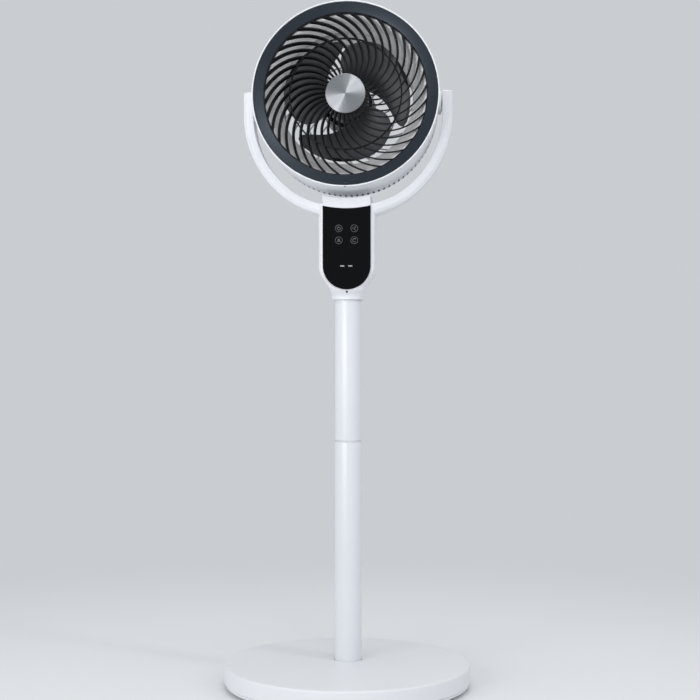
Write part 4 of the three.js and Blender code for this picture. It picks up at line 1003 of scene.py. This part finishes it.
# Sizes and depths of each kind in millimetres; "first" is the angle of the first one on its circle.
screws = {
    "tray": dict(head=4, headHeight=2, shank=1.7, length=16, circle=150, first=90, face=4.4),
    "rear": dict(head=3.2, headHeight=1.6, shank=1.4, length=10, circle=103.4, first=30, face=-47.2),
    "motor": dict(head=2.8, headHeight=1.2, shank=1.3, length=6, circle=29, first=30, face=-45.3),
    "housing": dict(head=3.2, headHeight=2.2, shank=1.4, headSink=5.5, reach=2),
    "bezel": dict(head=2.6, headHeight=1, shank=1.1, length=6.5, face=127.6),
}


def screwCircle(kind, axis, body):
    s = screws[kind]
    screw = screwPiece(kind + "Screws", s, s["length"])
    copiesRound(screw, zincPlatedSteel, 3, axis @ moved(0, 0, s["face"]), s["circle"], s["first"])
    finishPiece(screw, body, "zinc_steel", *numbered(kind + "_screw", 3))


screwCircle("tray", Matrix(), "stand")
screwCircle("rear", headAxis, "head")
screwCircle("motor", headAxis, "head")
kind, housingScrews = screws["housing"], []
for x, z, face in screwSpots(neck, yoke):
    screw = screwPiece("housingScrews", kind, face + kind["reach"])
    lying = columnAxis @ moved(x, face - kind["headSink"], z) @ turned(90, "X")
    housingScrews.append(setDown(screw, lying))
finishPiece(gather(housingScrews[0], housingScrews[1:]), "neck", "zinc_steel", *numbered("housing_screw", 4))
kind = screws["bezel"]
upwards = headAxis @ moved(0, -kind["face"], drum["screwDepth"]) @ turned(-90, "X")
bezelScrew = setDown(screwPiece("bezelScrew", kind, kind["length"]), upwards)
finishPiece(bezelScrew, "head", "zinc_steel", "bezel_screw")
print("screws made")

# The floor and the backdrop. Distances are in metres, from the middle of the floor.
studio = dict(
    floorRadius=40.0, floorColour="#e9ebed", backdrop="#c9cdd1", nearFloor=0.3, farFloor=1.5, worldLight=0.6,
)
# Watts, size, place, what it points at and spread in degrees; a narrow spread reaches the head alone.
lamps = {
    "key softbox": (9.0, (0.7, 1.1), (-1.35, -1.65, 0.85), (0, 0.02, 0.62), 180),
    "front softbox": (6.0, (0.45, 0.45), (-0.75, -2.1, 0.6), (0, 0, 0.8), 180),
    "upper right softbox": (3.0, (0.4, 0.4), (0.43, -1.8, 1.75), (0, 0, 0.75), 180),
    "right strip": (4.0, (0.2, 1.0), (1.35, -0.75, 1.35), (0, 0, 0.75), 180),
    "top softbox": (9.0, (1.0, 1.0), (0.1, -0.2, 2.3), (0, 0, 0), 180),
    "low fill": (0.3, (0.5, 0.3), (-0.75, -1.5, 0.1), (0, 0, 0.85), 40),
}


def addLamp(name, watts, size, spot, aim, spread):
    lamp = bpy.data.lights.new(name, "AREA")
    lamp.shape = "RECTANGLE"
    lamp.size, lamp.size_y = size
    lamp.energy = watts
    lamp.spread = math.radians(spread)
    holder = addObject(name, lamp)
    holder.location = spot
    holder.rotation_euler = (Vector(aim) - Vector(spot)).to_track_quat("-Z", "Y").to_euler()


# Far from the object the floor fades into the backdrop colour, so that no horizon line shows.
def makeFloorPaint(s):
    paint = surfaceMaterial(
        "matt studio floor", (s["floorColour"], "#eceef0"), drift=900, roughness=(0.8, 0.9),
        grain=(3, 0.02, 0.1), shader={"Specular IOR Level": 0.2})
    tree = paint.node_tree
    spot = addNode(tree, "ShaderNodeTexCoord").outputs["Object"]
    reach = addNode(tree, "ShaderNodeVectorMath", {"operation": "LENGTH", 0: spot}).outputs["Value"]
    far = addNode(tree, "ShaderNodeMapRange", {
        "interpolation_type": "SMOOTHSTEP", "From Min": s["nearFloor"], "From Max": s["farFloor"],
        "Value": reach})
    glow = addNode(tree, "ShaderNodeEmission", {"Color": hexColour(s["backdrop"]), "Strength": 1.0})
    mix = addNode(tree, "ShaderNodeMixShader", {0: far, 1: tree.nodes["Principled BSDF"], 2: glow})
    setNode(tree, tree.nodes["Material Output"], {"Surface": mix})
    return paint


# The world lights the object in one strength, and is seen and mirrored as the plain backdrop.
def makeStudio(s):
    reach = s["floorRadius"] / mm
    disc = barPiece("floor", reach, -20, 0, 64)
    disc.data.materials.append(makeFloorPaint(s))
    world = bpy.data.worlds.new("studio")
    bpy.context.scene.world = world
    world.use_nodes = True
    tree = world.node_tree
    tree.nodes.clear()
    path = addNode(tree, "ShaderNodeLightPath").outputs
    light, seen = [addNode(tree, "ShaderNodeBackground", {"Color": hexColour(colour), "Strength": strength})
                   for colour, strength in (("#fbfcff", s["worldLight"]), (s["backdrop"], 1.0))]
    shown = path["Is Camera Ray"]
    for ray in ("Is Glossy Ray", "Is Transmission Ray"):
        shown = addNode(tree, "ShaderNodeMath", {
            "operation": "ADD", "use_clamp": True, 0: shown, 1: path[ray]})
    mix = addNode(tree, "ShaderNodeMixShader", {0: shown, 1: light, 2: seen})
    addNode(tree, "ShaderNodeOutputWorld", {"Surface": mix})


def makeCamera():
    view = bpy.data.cameras.new("camera")
    view.sensor_fit, view.sensor_width, view.lens = "HORIZONTAL", 36, 70.35
    view.shift_y, view.clip_end = 0.04, 200
    camera = addObject("camera", view)
    camera.location = (0.12669, -1.88853, 0.45164)
    camera.rotation_euler = (1.55733, 0, 0.06497)
    bpy.context.scene.camera = camera


makeStudio(studio)
for name, lamp in lamps.items():
    addLamp(name, *lamp)
makeCamera()
bpy.context.scene.view_settings.view_transform = "Standard"

print("studio ready")
